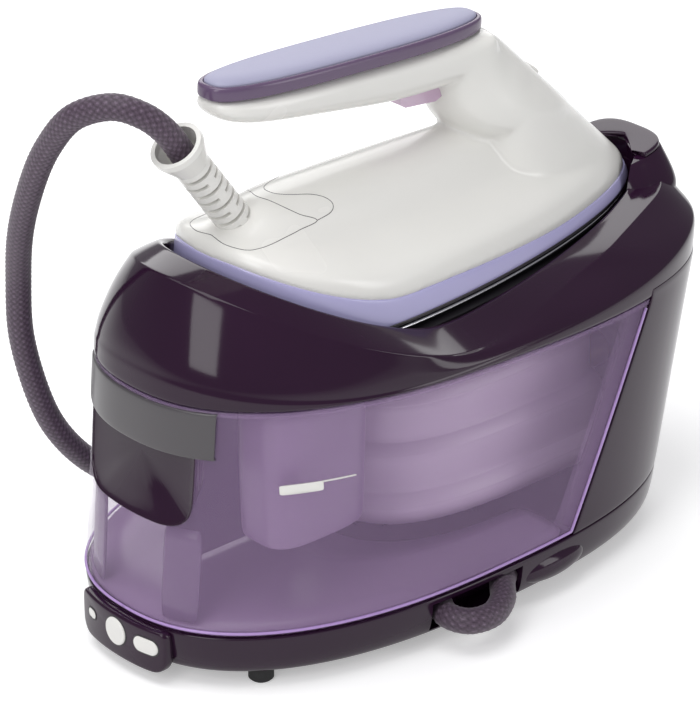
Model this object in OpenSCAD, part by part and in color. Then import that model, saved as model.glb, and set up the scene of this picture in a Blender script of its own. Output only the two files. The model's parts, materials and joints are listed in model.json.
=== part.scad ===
// Steam generator iron: a pressure station with a slide-off water tank, and the iron that rests on it.
// Millimetres, +Z up, +X towards the iron's tip, origin under the middle of the station.

/* [Station] */
// X of the widest section of the station
mid_x = -10; // [-20:0.5:0]
// Length from the widest section to the panel end, at the deck
heel_len = 156.8; // [146:0.2:172]
// Length from the widest section to the nose end, at the deck
nose_len = 154; // [148:1:180]
// Half width of the station at the deck
half_w = 90.5; // [86:0.5:108]
// Outline exponent of the panel end
heel_n = 2.35; // [2.1:0.05:3]
// Outline exponent of the nose end
nose_n = 2.75; // [2.3:0.05:3]
// How far the nose leans out for each millimetre of height
nose_lean = 0.265; // [0.2:0.005:0.28]
// How far the panel end leans in for each millimetre of height
heel_lean = 0.075; // [0.04:0.005:0.09]
// How far the sides lean in for each millimetre of height
side_lean = 0.044; // [0.02:0.002:0.05]
// Height of the rubber feet
foot_h = 8; // [6:0.5:12]
// Diameter of the rubber feet
foot_d = 12; // [9:0.5:18]
// Top of the base deck
deck_z = 28.5; // [27:0.5:34]
// Thickness of the base deck
deck_t = 2.7; // [2:0.1:4]
// Wall of the base pan
pan_wall = 2.5; // [2:0.1:3]
// Diameter of the screw bosses in the pan
boss_d = 9; // [8:0.5:12]

/* [Controls] */
// Half width of the control panel
panel_half_w = 36; // [33:1:42]
// How far the panel stands proud of the base
panel_proud = 3.9; // [3:0.1:6]
// Lower edge of the panel
panel_z0 = 6; // [4:0.5:7]
// Diameter of the power button
power_d = 14; // [11:0.5:16]
// Width of the pill-shaped button
eco_w = 14; // [11:0.5:16]
// Height of the pill-shaped button
eco_h = 8; // [6:0.5:9]
// Distance of the pill-shaped button from the power button
eco_pitch = 19.5; // [18:0.5:21]
// Height of the buttons' middle
button_z = 19.5; // [17:0.5:20]
// Travel of the buttons
press = 1.5; // [0.8:0.1:2]
// Diameter of the drain knob
knob_d = 36; // [28:1:44]
// Height of the drain knob's axis
knob_z = 62; // [56:1:70]

/* [Tank] */
// Height of the seam above the tank, at X 0
seam_z0 = 134.3; // [128:0.1:140]
// Fall of the seam for each millimetre towards the nose
seam_slope = 0.04; // [0.02:0.01:0.06]
// Wall of the tank
tank_wall = 2.2; // [1.8:0.1:3]
// X of the tank's slanted end at its floor
slant_x = 36; // [30:1:42]
// Run of the slanted end for each millimetre of height
slant_run = 0.59; // [0.5:0.01:0.66]
// Half width of the grip
grip_half_w = 36; // [32:1:42]
// Lower edge of the grip band
band_z0 = 116; // [112:1:118]
// Height of the grip band
band_h = 20; // [14:1:21]
// Lower edge of the grip scoop
scoop_z0 = 80; // [70:1:88]
// Depth of the grip scoop
scoop_deep = 30; // [24:1:36]
// Diameter of the filler tube
filler_d = 29; // [22:1:34]
// Diameter of the water spigot
spigot_d = 8; // [6:0.5:10]
// Height of the water spigot
spigot_z = 44; // [40:1:54]

/* [Core] */
// Half width of the core at its lowest step
core_half_w = 52; // [49:1:56]
// X of the core's panel end
core_nose_x = -46; // [-52:1:-40]
// X of the core's nose end
core_end_x = 116; // [112:1:122]
// Depth of each step of the core's wall
core_step = 3; // [2:0.2:3.4]
// Height of each step of the core's wall
core_rise = 24; // [20:1:28]
// Wall of the core
core_wall = 2.6; // [2:0.1:3]
// Gap between the core and the tank
core_clear = 4; // [2:0.5:6]

/* [Top housing] */
// Height of the rim beside the iron
rim_z = 149; // [147:1:150]
// Rise of the rim towards the panel end
rim_rise = 41; // [32:1:44]
// Rise of the rim towards the nose
nose_rise = 11.5; // [8:0.5:13]
// Gap between the rim and the iron
rim_gap = 3; // [2:0.5:5]
// Width of the rim's edge
rim_w = 2.6; // [2:0.2:4]
// Width of the sloping band outside the rim
band_w = 12; // [9:1:14]
// Drop of the sloping band
band_drop = 10.5; // [8:0.5:12]
// Height of the shoulder at the panel end
heel_shoulder_z = 155; // [151:1:160]
// Height of the shoulder at the nose
nose_shoulder_z = 134; // [132:1:138]
// Top of the lock hood
hood_z = 174.5; // [174:0.5:178]
// Half width of the lock hood
hood_half_w = 24; // [21:1:27]
// Length of the lock hood beyond the iron's tip
hood_len = 11.5; // [11:0.1:12]
// Travel of the carry lock
lock_travel = 5; // [4:0.5:6]
// Half width of the carry lock's button
lock_half_w = 13; // [9:0.5:15]

/* [Iron] */
// X of the iron's widest section
iron_x = -45; // [-52:1:-40]
// Length from the widest section to the heel
iron_heel = 72; // [64:1:78]
// Length from the widest section to the tip
iron_tip = 200; // [180:1:203]
// Half width of the iron
iron_half_w = 57.5; // [50:0.5:62]
// Underside of the soleplate
iron_z = 151.5; // [150.5:0.5:153]
// Thickness of the soleplate
sole_t = 2.4; // [1.6:0.2:3]
// Thickness of the heat shield
shield_t = 2.6; // [2:0.2:4]
// Height of the skirt beside the tip
skirt_h = 6.5; // [5:0.5:9]
// Rise of the skirt's top edge at the heel
skirt_rise = 29; // [22:1:31]
// Wall of the skirt and shell
iron_wall = 2.2; // [1.8:0.1:2.8]
// Height of the shell's back below the handle
ridge_z = 212; // [208:1:214]
// X of the heel cover's front edge, on the iron's back
cover_x = -80; // [-84:1:-76]
// Half width of the heel cover
cover_half_w = 26; // [22:1:30]

/* [Handle] */
// X of the handle's free end
grip_x = -112; // [-120:1:-104]
// Height of the handle's free end
grip_z = 273; // [270:1:276]
// Fall of the handle's top for each millimetre towards the tip
grip_fall = 0.045; // [0.04:0.005:0.06]
// Length of the handle's top
grip_len = 165; // [160:1:170]
// Half width of the handle
grip_w = 17; // [15:0.5:20]
// Height of the bezel on the handle
bezel_h = 6.5; // [5:0.5:8]
// Thickness of the soft pad's edge above the bezel
pad_t = 0.8; // [0.6:0.2:1.4]
// Crown of the soft pad
pad_crown = 2.2; // [1:0.2:3]
// Width of the bezel's edge round the pad
bezel_edge = 2.6; // [2:0.2:4]
// Half width of the steam trigger
trigger_w = 6.5; // [5:0.5:8]
// Length of the steam trigger
trigger_len = 28; // [22:1:30]
// Diameter of the trigger's pin
pin_d = 3; // [2.5:0.25:3.5]

/* [Hose] */
// Diameter of the steam hose
hose_d = 12.5; // [11:0.25:13]
// Outer diameter of the strain relief
relief_d = 17; // [16.5:0.25:20]
// Diameter of the strain relief's mouth
mouth_d = 25; // [22:0.5:28]
// Length of the strain relief
relief_len = 70; // [60:1:74]
// Lean of the strain relief
relief_lean = 36; // [33:0.5:38]

/* [Hidden] */
$fn = 48;
ring_n = 56;
// Gap between pieces that move past each other
run = 0.4;
// Gap between pieces that are fixed to each other
seat = 0.15;
// Radial clearance of a pin that turns in its hole
pin_clear = 0.05;
// More than the whole object, for cutting shapes
far = 400;

purple = "#3a2438";
lilac = "#b8b2d8";
white = "#e8e8e4";
grey = "#6b686a";
black = "#232025";
metal = "#c9c9cd";
brass = "#b59a55";
clear_purple = "#9a86a8";

heel_seam_z = seam_z0 - seam_slope * (mid_x - heel_len);
nose_seam_z = seam_z0 - seam_slope * (mid_x + nose_len);
deck_z0 = deck_z - deck_t;
pan_floor = foot_h + pan_wall;
tank_z0 = deck_z + run;
tank_top = -run;
lid_t = 2.4;
panel_x = mid_x - heel_len - panel_proud;
tip_x = iron_x + iron_tip;
sole_z = iron_z + sole_t;
skirt_z = sole_z + shield_t;
core_x = 60;
hood_x = tip_x - 24;
hood_end = tip_x + hood_len;
relief_x = -87.5;
relief_z = 192;
bezel_z = bezel_h + pad_t;
pivot_x = 27;
pivot_z = 244;
pocket_z0 = 226;
pocket_z1 = 252;

// Closed outline with a heel and a nose of their own lengths and exponents
function egg(xc, al, ar, b, nl, nr, n = ring_n) =
  [for (i = [0:n - 1])
    let (c = cos(360 * i / n), s = sin(360 * i / n), p = c < 0 ? nl : nr)
    [xc + (c < 0 ? -al : ar) * pow(abs(c), 2 / p), b * sign(s) * pow(abs(s), 2 / p)]];
function flat(outline, z) = [for (p = outline) [p.x, p.y, z]];
function sloped(outline, z) = [for (p = outline) [p.x, p.y, z - seam_slope * p.x]];
function along(outline, height) = [for (p = outline) [p.x, p.y, height(p.x)]];

// Station outline at a height, and at the tilted seam
function side(z, inset = 0) =
  egg(mid_x, heel_len - heel_lean * (z - deck_z) - inset, nose_len + nose_lean * (z - deck_z) - inset,
    half_w - side_lean * (z - deck_z) - inset, heel_n, nose_n);
function seam(inset = 0) =
  egg(mid_x, heel_len - heel_lean * (heel_seam_z - deck_z) - inset,
    nose_len + nose_lean * (nose_seam_z - deck_z) - inset,
    half_w - side_lean * (seam_z0 - deck_z) - inset, heel_n, nose_n);
function core(k, grow = 0) =
  egg(core_x, core_x - core_nose_x - core_step * k + grow, core_end_x - core_x + grow,
    core_half_w - core_step * k + grow, 3, 5, 40);
function iron(inset = 0) =
  egg(iron_x, iron_heel - inset, iron_tip - inset, iron_half_w - inset, 2.2, 1.72);
function mix(a, b, t) = a + (b - a) * t;

// Heights that follow the length of the iron
low_x = -24;
rim = function(x)
  rim_z + (x < low_x ? rim_rise * pow((low_x - x) / 96, 1.3)
    : nose_rise * pow((x - low_x) / (tip_x - low_x), 1.3));
crease = function(x) rim(x) - band_drop * (x < 0 ? 1 : 1 - 0.83 * pow(min(1, x / 105), 1.3));
shoulder = function(x)
  let (u = (x - mid_x) / (x < mid_x ? heel_len : nose_len), e = x < mid_x ? heel_shoulder_z : nose_shoulder_z)
  mix(seam_z0 + 3.5, e, pow(min(1, abs(u)), 3));
skirt_top = function(x) skirt_z + skirt_h + (x < -40 ? skirt_rise * pow(min(1, (-40 - x) / 73), 1.5) : 0);
grip_top = function(x) grip_z - grip_fall * (x - grip_x);

// Solid through rings of equal counts, closed by its first and last ring
module loft(rings, loop = false) {
  n = len(rings[0]);
  m = len(rings);
  function at(j, i) = (j % m) * n + i % n;
  sides = [for (j = [0:m - (loop ? 1 : 2)], i = [0:n - 1])
    each [[at(j, i), at(j + 1, i), at(j + 1, i + 1)], [at(j, i), at(j + 1, i + 1), at(j, i + 1)]]];
  caps = loop ? [] : [[for (i = [0:n - 1]) i], [for (i = [n - 1:-1:0]) at(m - 1, i)]];
  polyhedron([for (r = rings) each r], concat(sides, caps));
}

// Round tube swept along a route
function unit(v) = v / norm(v);
function spline(p, steps) =
  [for (i = [0:len(p) - 2], k = [0:steps - 1])
    let (t = k / steps, a = p[max(0, i - 1)], b = p[i], c = p[i + 1], d = p[min(len(p) - 1, i + 2)])
    b + t * (c - a) / 2 + t * t * (a - 2.5 * b + 2 * c - d / 2) + t * t * t * (1.5 * (b - c) + (d - a) / 2)];
function heading(p, i) = unit(p[min(len(p) - 1, i + 1)] - p[max(0, i - 1)]);
function normals(p, i, last) =
  i == len(p) ? []
    : let (t = heading(p, i), v = unit(last - (last * t) * t)) concat([v], normals(p, i + 1, v));
module tube(route, d, steps, sides = 10) {
  p = concat(spline(route, steps), [route[len(route) - 1]]);
  n = normals(p, 0, [0.3, 0.9, 0.2]);
  loft([for (i = [0:len(p) - 1])
    let (t = heading(p, i), b = cross(t, n[i]))
    [for (k = [0:sides - 1]) p[i] + d / 2 * (cos(360 * k / sides) * n[i] + sin(360 * k / sides) * b)]]);
}

module below_seam(z) {
  translate([0, 0, z])
    rotate([0, atan(seam_slope), 0])
      translate([-far, -far, -far])
        cube([2 * far, 2 * far, far]);
}

module along_x(x, y, z, d, h) {
  translate([x, y, z])
    rotate([0, 90, 0])
      cylinder(d = d, h = h);
}

// Prism on the tank's side of the slanted end, moved along X
module tank_side(shift) {
  translate([0, far, 0])
    rotate([90, 0, 0])
      linear_extrude(2 * far)
        polygon([[-far, 0], [slant_x - slant_run * tank_z0 + shift, 0],
          [slant_x + slant_run * (far - tank_z0) + shift, far], [-far, far]]);
}

// Space that the tank leaves for the core, open to the nose
module core_space(grow) {
  linear_extrude(far) {
    polygon(core(0, grow));
    translate([core_x, -core_half_w - grow])
      square([far, 2 * (core_half_w + grow)]);
  }
}

boss_spots = [[-112, 42], [-112, -42], [-50, 52], [-50, -52], [78, 34], [78, -34]];
screw_d = 3.2;
// Slots in both long sides that the hose passes, and the guards beside them
slot_x0 = -54;
slot_x1 = 2;
slot_deep = 16;
guard_x = 24;
guard_len = 22;
guard_w = 9;
// Foot of the pan: inset of its lowest edge and of its bend
foot_inset = 6;
bend_inset = 2.5;
lip = 0.6;
// Back of the control panel, which closes the notch in the base
panel_back = -157;

module panel_notch() {
  translate([-far, -panel_half_w - seat, 0])
    cube([far + panel_back, 2 * (panel_half_w + seat), far]);
}

module base_pan() color(purple) difference() {
  union() {
    loft([
      flat(side(deck_z, foot_inset), foot_h), flat(side(deck_z, bend_inset), foot_h + 3),
      flat(side(deck_z, lip), deck_z0 - seat), flat(side(deck_z, lip + pan_wall), deck_z0 - seat),
      flat(side(deck_z, bend_inset + pan_wall), foot_h + 5),
      flat(side(deck_z, foot_inset + pan_wall), pan_floor)
    ]);
    translate([0, 0, pan_floor])
      linear_extrude(deck_z0 - seat - 1 - pan_floor)
        difference() {
          for (s = [-1, 1])
            translate([0, s * (half_w - guard_w + 1.5)])
              polygon(egg(guard_x, guard_len, guard_len, guard_w, 2, 2, 40));
          polygon(side(deck_z, lip + pan_wall));
        }
    for (s = boss_spots)
      translate([s.x, s.y, pan_floor - 1])
        cylinder(d = boss_d, h = deck_z0 - seat - pan_floor + 1);
  }
  for (s = boss_spots)
    translate([s.x, s.y, 0]) {
      cylinder(d = screw_d + 0.3, h = far);
      cylinder(d = 2 * screw_d + 0.4, h = pan_floor - 1);
    }
  translate([slot_x0, -far, pan_floor])
    cube([slot_x1 - slot_x0, far - half_w + slot_deep, deck_z]);
  translate([slot_x0, half_w - slot_deep, pan_floor])
    cube([slot_x1 - slot_x0, far, deck_z]);
  panel_notch();
}

module base_deck() color(purple) difference() {
  translate([0, 0, deck_z0])
    linear_extrude(deck_t)
      polygon(side(deck_z));
  for (s = boss_spots)
    translate([s.x, s.y, 0])
      cylinder(d = screw_d + 0.3, h = deck_z - 1);
  panel_notch();
}

foot_spots = [[-127, 51], [-127, -51], [98, 54], [98, -54]];

module rubber_feet() color(black)
  for (s = foot_spots)
    translate([s.x, s.y, 0]) {
      cylinder(d1 = foot_d - 2, d2 = foot_d, h = 1);
      translate([0, 0, 1])
        cylinder(d = foot_d, h = foot_h - 1 - seat);
    }

module base_screws() color(metal)
  for (s = boss_spots)
    translate([s.x, s.y, foot_h]) {
      cylinder(d = 2 * screw_d, h = pan_wall - 1 - seat);
      cylinder(d = screw_d, h = deck_z - 1.2 - foot_h);
    }

panel_round = 8;
lamp_pitch = 19.5;
lamp_w = 7;
lamp_h = 5;

module panel_face() {
  w = panel_half_w;
  translate([-far, 0, 0])
    rotate([90, 0, 90])
      linear_extrude(far) {
        translate([-w, panel_z0 + panel_round])
          square([2 * w, deck_z - panel_z0 - panel_round - seat]);
        translate([-w + panel_round, panel_z0])
          square([2 * (w - panel_round), panel_round + 1]);
        for (k = [-1, 1])
          translate([k * (w - panel_round), panel_z0 + panel_round])
            circle(r = panel_round);
      }
}

module pill(w, h, x, y, z, len) {
  translate([x, y, z])
    rotate([90, 0, 90])
      linear_extrude(len) {
        square([w - h, h], center = true);
        for (k = [-1, 1])
          translate([k * (w - h) / 2, 0])
            circle(d = h);
      }
}

button_x = panel_x - 0.8;
button_len = 6.5;

module control_panel() color(purple) difference() {
  intersection() {
    translate([0, 0, panel_z0])
      linear_extrude(deck_z - panel_z0)
        polygon(side(deck_z, -panel_proud));
    panel_face();
  }
  translate([panel_back - seat, -far, 0])
    cube([far, 2 * far, far]);
  along_x(button_x - 1, 0, button_z, power_d + 2 * run, button_len + press + 1.5);
  pill(eco_w + 2 * run, eco_h + 2 * run, button_x - 1, -eco_pitch, button_z, button_len + press + 3);
  pill(lamp_w + 2 * seat, lamp_h + 2 * seat, button_x - 1, lamp_pitch, button_z, button_len);
}

module power_button() color(white) along_x(button_x, 0, button_z, power_d, button_len);

module eco_button() color(white) pill(eco_w, eco_h, button_x + 1.6, -eco_pitch, button_z, button_len);

module indicator_lens() color(white)
  pill(lamp_w, lamp_h, panel_x + 1.4, lamp_pitch, button_z, button_len - 3.2 - seat);

module core_housing() color(clear_purple) difference() {
  intersection() {
    for (k = [0:3])
      translate([0, 0, deck_z + seat])
        linear_extrude(k < 3 ? core_rise * (k + 1) : far / 3)
          polygon(core(k));
    below_seam(seam_z0 - seat);
  }
  for (k = [0:3])
    linear_extrude(deck_z + (k < 3 ? core_rise * (k + 1) - core_wall : far))
      polygon(core(k, -core_wall));
  along_x(core_nose_x - 5, 0, spigot_z, spigot_d + 0.3, 20);
  along_x(core_end_x - 8, 0, knob_z, socket_d + 4 + 2 * seat, 20);
}

boiler_x = 68;
boiler_d = 68;
boiler_z0 = deck_z + 8;
boiler_z1 = 98;
socket_d = 20;

module boiler() color(metal) translate([boiler_x, 0, 0]) {
  translate([0, 0, boiler_z0])
    rotate_extrude()
      polygon([[0, 0], [boiler_d / 2 - 8, 0], [boiler_d / 2, 8], [boiler_d / 2, 26], [boiler_d / 2 + 3, 26],
        [boiler_d / 2 + 3, 30], [boiler_d / 2, 30], [boiler_d / 2, boiler_z1 - boiler_z0 - 10],
        [boiler_d / 2 - 10, boiler_z1 - boiler_z0], [0, boiler_z1 - boiler_z0]]);
  for (a = [60, 180, 300])
    rotate([0, 0, a])
      translate([boiler_d / 2 - 14, 0, deck_z + seat])
        cylinder(d = 8, h = boiler_z0 - deck_z);
}

module boiler_thermostat() color(brass)
  translate([boiler_x - 15, 0, boiler_z1 + seat]) {
    cylinder(d = 15, h = 4);
    cylinder(d = 8, h = 7);
  }

module steam_valve() color(brass)
  translate([boiler_x + 8, 0, boiler_z1 + seat]) {
    cylinder(d = 12, h = 4);
    translate([-8, -8, 3])
      cube([16, 16, 10]);
  }

pump_x0 = -28;
pump_x1 = 14;

module pump() color(black) difference() {
  union() {
    translate([pump_x0 + 8, -17, deck_z + seat])
      cube([pump_x1 - pump_x0 - 8, 34, 30]);
    along_x(pump_x0, 0, spigot_z, 26, 12);
    translate([pump_x0 + 22, 0, deck_z + 29])
      cylinder(d = 12, h = 14);
  }
  along_x(pump_x0 - 1, 0, spigot_z, 6.3, 7);
}

module water_tubes() color(white) {
  along_x(core_nose_x + core_wall + 9, 0, spigot_z, 6, pump_x0 + 5 - core_nose_x - core_wall - 9);
  tube([[pump_x0 + 22, 0, deck_z + 43.3], [pump_x0 + 22, 0, deck_z + 52], [pump_x0 + 32, 0, deck_z + 58],
    [pump_x0 + 46, 0, deck_z + 56], [boiler_x - boiler_d / 2 - 0.7, 0, deck_z + 52]], 6, 3, 8);
}

module control_board() color("#2f6b45") translate([22, 0, 0]) {
  translate([0, -36, deck_z + seat])
    cube([1.6, 26, 62]);
  translate([1.5, -32, deck_z + 12])
    cube([7, 14, 16]);
  translate([1.5, -24, deck_z + 44])
    rotate([0, 90, 0])
      cylinder(d = 9, h = 9);
}

spigot_reach = 14;

module water_spigot() color(white) difference() {
  union() {
    along_x(core_nose_x - spigot_reach, 0, spigot_z, spigot_d, spigot_reach + core_wall + 9 - seat);
    along_x(core_nose_x + core_wall + 4, 0, spigot_z, spigot_d + 3, 3);
  }
  along_x(core_nose_x - spigot_reach - 1, 0, spigot_z, spigot_d - 3, far / 4);
}

module spigot_seal() color(black) difference() {
  along_x(core_nose_x + core_wall + 1.3, 0, spigot_z, spigot_d + 3, 2.4);
  along_x(core_nose_x - 1, 0, spigot_z, spigot_d + 0.2, 20);
}

// Hose routes: the free stretch from the iron to the base, and the length kept in the base's channel
hose_z = 18;
// The routes are drawn for a half width of 90.5 and follow it
hose_wide = half_w / 90.5;
gland_y = 61;
function widened(route) = [for (p = route) [p.x, p.y * hose_wide, p.z]];
free_route = [[-123.9, 0, 242.2], [-132, 2, 255], [-141, 7, 264], [-150.5, 17, 267.5], [-158.5, 33, 260],
  [-159.5, 50, 242], [-157.5, 66, 219], [-151, 86, 186], [-142, 102, 153], [-138, 107, 119], [-127, 109, 81],
  [-114, 109, 56], [-94, 109, 34], [-72, 106, 21], [-50, 99, 17.5], [-28, 90.5, hose_z], [-8, 83, hose_z],
  [4, 79.3, hose_z], [14, 77.3, hose_z], [24, 76.2, hose_z]];
stored_route = [[25, 76, hose_z], [60, 72, hose_z], [98, 55, hose_z], [122, 33, hose_z], [131, 8, hose_z],
  [128, -20, hose_z], [110, -44, hose_z], [84, -60, hose_z], [50, -70, hose_z], [14, -76, hose_z],
  [-1, -81, 18.4], [-10, -88.5, 19], [-18, -97, 18.5], [-30, -102.5, 17.5], [-42, -100, 17.5],
  [-46, -89.5, 17.5], [-41, -78.3, 17.7], [-33, -70, hose_z], [-20, -64.5, hose_z], [10, -62, hose_z],
  [48, -55, hose_z], [78, -46.5, hose_z], [100, -31, hose_z], [112, -12, hose_z], [113, 10, hose_z],
  [103, 32, hose_z], [82, 46, hose_z], [56, 55, hose_z], [34, 60, hose_z], [22, gland_y, hose_z],
  [14.3, gland_y, hose_z]];

module steam_hose() color(purple) tube(widened(free_route), hose_d, 2);

module stored_hose() color(purple) tube(widened(stored_route), hose_d, 2);

module hose_gland() color(brass) {
  along_x(-6, gland_y * hose_wide, hose_z, hose_d + 2.5, 20 - seat);
  translate([-4, gland_y * hose_wide - 7, pan_floor + seat])
    cube([12, 14, 10]);
}

// Top moulding: shoulder, sloping band, rim and well as one skin
function well(grow = 0) =
  egg(iron_x, iron_heel + rim_gap + grow, iron_tip + rim_gap - 0.5 + grow, iron_half_w + rim_gap + grow,
    2.2, 1.76);
function crown(inset = 0) =
  egg(mid_x, heel_len - heel_lean * (heel_shoulder_z - deck_z) - inset,
    nose_len + nose_lean * (nose_shoulder_z - deck_z) - inset,
    half_w - side_lean * (seam_z0 - deck_z) - inset, heel_n, nose_n);
function between(a, b, t) = [for (i = [0:len(a) - 1]) mix(a[i], b[i], t)];
function fold(t) =
  egg(iron_x, iron_heel + rim_gap + rim_w + 14 * t, iron_tip + rim_gap + rim_w + 3 * t,
    iron_half_w + rim_gap + rim_w + band_w * t, mix(2.2, 1.7, t), mix(1.76, 1.95, t));
floor_t = 3;
block_wall = 3;

module top_skin() {
  loft([
    sloped(seam(), seam_z0),
    along(between(seam(), crown(), 0.7), function(x) mix(seam_z0 - seam_slope * x, shoulder(x), 0.7)),
    along(crown(1), shoulder),
    along(between(crown(), fold(1), 0.5), function(x) mix(shoulder(x), crease(x), 0.62)),
    along(fold(1), crease), along(fold(0), rim), along(well(0.5), rim),
    along(well(0), function(x) rim(x) - 1.2), sloped(well(0), seam_z0 + floor_t)
  ]);
}

module nose_block(inset, top) {
  difference() {
    loft([flat(side(deck_z, inset), deck_z + seat - (inset > 0 ? 1 : 0)), flat(side(80, inset), 80),
      sloped(seam(inset + 0.2), seam_z0 + top)]);
    tank_side(run + (inset > 0 ? block_wall * 1.3 : 0));
  }
}

// Hood rings: depth under its top, length before its middle, and what its end and half width gain
hood_mid = hood_x + 15;
hood_steps = [[rim_rise - 12, 17, 3, 6], [14, 16, 1.5, 3], [3, 14, 0, -1], [0, 12, -0.8, -3.5]];
cord_x = 90;
cord_z = 50;
bush_d = 14;
lock_x0 = tip_x + 1.5;
lock_z = hood_z - 2.8;
lock_len = hood_len - 4.2;

module upper_housing() color(purple) difference() {
  union() {
    top_skin();
    difference() {
      nose_block(0, 1);
      nose_block(block_wall, -block_wall);
      linear_extrude(far)
        polygon(core(0, seat));
    }
    difference() {
      loft([for (h = hood_steps)
        flat(egg(hood_mid, h[1], hood_end - hood_mid + h[2], hood_half_w + h[3], 3, 3), hood_z - h[0])]);
      linear_extrude(far)
        polygon(well(0));
    }
  }
  translate([hood_x, -lock_half_w - run, lock_z - 2 - run])
    cube([hood_end - 1.8 - hood_x, 2 * (lock_half_w + run), far]);
  along_x(tip_x - 30, 0, knob_z, knob_d + 2 * run, 40);
  translate([cord_x, far, cord_z])
    rotate([90, 0, 0])
      cylinder(d = bush_d, h = far - 40);
}

module iron_platform() color(black) loft([
  sloped(well(-0.8), seam_z0 + floor_t + seat), flat(well(-0.8), rim_z + 0.5)
]);

pad_spots = [[-84, 26], [-84, -26], [-20, 40], [-20, -40], [60, 28], [60, -28], [116, 0]];

module platform_pads() color(grey)
  for (s = pad_spots)
    translate([s.x, s.y, rim_z + 0.5 + seat])
      cylinder(d = 13, h = iron_z - rim_z - 0.5 - seat - 0.2);

knob_x = mid_x + nose_len + nose_lean * (knob_z - deck_z);

module decalc_socket() color(brass) difference() {
  union() {
    along_x(boiler_x + boiler_d / 2 - 1, 0, knob_z, socket_d, knob_x - 12 - boiler_x - boiler_d / 2);
    along_x(core_end_x + seat, 0, knob_z, 30, 4);
  }
  along_x(knob_x - 28, 0, knob_z, 12, 40);
  translate([boiler_x, 0, 0])
    cylinder(d = boiler_d + 6.4, h = far);
}

module decalc_knob() color(grey) {
  along_x(knob_x - 10, 0, knob_z, knob_d, 8);
  translate([knob_x - 2.5, -knob_d / 2 + 5, knob_z - 3.5])
    cube([4.5, knob_d - 10, 7]);
  along_x(knob_x - 26, 0, knob_z, 12 - 2 * run, 20);
}

bush_y = half_w - 25.5;
bush_len = 16;

module mains_cord_bushing() color(black)
  translate([cord_x, bush_y, cord_z])
    rotate([-90, 0, 0])
      difference() {
        union() {
          cylinder(d = bush_d - 2 * seat, h = bush_len);
          cylinder(d = bush_d + 4, h = 4);
        }
        translate([0, 0, -1])
          cylinder(d = 7.4, h = bush_len + 2);
      }

module lock_button() color(black) {
  translate([hood_end - 1.8 - run - lock_len, -lock_half_w, lock_z])
    cube([lock_len, 2 * lock_half_w, 2.4]);
  for (k = [-2:2])
    translate([hood_end - 3 - run - lock_len / 2, 4 * k - 0.6, lock_z + 2.3])
      cube([1.2, 1.2, 0.9]);
}

module lock_tongue() color(grey)
  translate([lock_x0, -6, lock_z - 2])
    cube([lock_travel + 2, 12, 2 - seat]);

// Tank solid between its floor and a plane under the seam
module tank_body(inset, top) {
  difference() {
    intersection() {
      loft([flat(side(deck_z, inset + 1.2), tank_z0 + inset),
        flat(side(deck_z, inset + 0.6), tank_z0 + 2 + inset),
        flat(side(80, inset + 0.6), 80), sloped(seam(inset + 0.6), seam_z0 + top)]);
      tank_side(-inset * 1.3);
    }
    core_space(core_clear + inset);
  }
}

scoop_x = mid_x - heel_len;
scoop_top = band_z0 + band_h;

// Tapered pocket with round corners, open to the panel end
module scoop(grow) {
  function slice(x, w, z0, z1) =
    [for (i = [0:31])
      let (c = cos(360 * i / 32), s = sin(360 * i / 32))
      [x, w * sign(c) * pow(abs(c), 0.5), (z0 + z1) / 2 + (z1 - z0) / 2 * sign(s) * pow(abs(s), 0.5)]];
  loft([slice(scoop_x - 20, grip_half_w + grow, scoop_z0 - grow, scoop_top + grow),
    slice(scoop_x + scoop_deep - 6 + grow, grip_half_w - 5 + grow, scoop_z0 + 5 - grow, scoop_top - 1 + grow),
    slice(scoop_x + scoop_deep + grow, grip_half_w - 9 + grow, scoop_z0 + 12 - grow, scoop_top - 3 + grow)]);
}

module tank_shell() color(clear_purple, 0.6) difference() {
  tank_body(0, tank_top - lid_t - seat);
  tank_body(tank_wall, tank_top + 4);
  scoop(tank_wall + seat);
  along_x(core_nose_x - core_clear - 8, 0, spigot_z, valve_d + 2 * seat, 12);
}

module tank_lid() color(clear_purple, 0.6) difference() {
  intersection() {
    tank_body(0, tank_top);
    difference() {
      translate([-far, -far, 0])
        cube([2 * far, 2 * far, far]);
      below_seam(seam_z0 + tank_top - lid_t);
    }
  }
  scoop(tank_wall + seat);
  filler_hole(filler_d + 2 * seat);
}

filler_x = -104;
filler_y = -45;
filler_z = seam_z0 - seam_slope * filler_x + tank_top;

module at_filler() {
  translate([filler_x, filler_y, filler_z])
    rotate([0, atan(seam_slope), 0])
      children();
}

module filler_hole(d) {
  at_filler()
    translate([0, 0, -10])
      cylinder(d = d, h = 20);
}

module filler_tube() color(clear_purple, 0.6)
  at_filler()
    difference() {
      union() {
        translate([0, 0, -72])
          cylinder(d = filler_d, h = 72 - lid_t - seat);
        translate([0, 0, -lid_t - 2])
          cylinder(d = filler_d + 5, h = 2 - seat);
      }
      translate([0, 0, -73])
        cylinder(d = filler_d - 4, h = 80);
    }

module filler_door() color(grey)
  at_filler()
    translate([0, 0, -lid_t])
      cylinder(d = filler_d, h = lid_t - 0.1);

module grip_band() color(grey) intersection() {
  difference() {
    tank_body(-0.5, tank_top);
    loft([flat(side(80, 5), 60), flat(side(100, 5), 100), flat(side(150, 5), 160)]);
  }
  translate([-far, -grip_half_w + 1, band_z0])
    cube([far + mid_x, 2 * (grip_half_w - 1), band_h - 0.5]);
  scoop(-seat);
}

module grip_scoop() color(purple) intersection() {
  difference() {
    scoop(tank_wall);
    scoop(0);
  }
  tank_body(-0.3, tank_top);
}

valve_d = 18;
valve_x = core_nose_x - core_clear - tank_wall;

module tank_valve() color(white) difference() {
  union() {
    along_x(valve_x - 14, 0, spigot_z, valve_d, 14 + tank_wall);
    along_x(valve_x - 4, 0, spigot_z, valve_d + 6, 4 - seat);
  }
  along_x(valve_x - 11, 0, spigot_z, spigot_d + 2 * run, 30);
}

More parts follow.
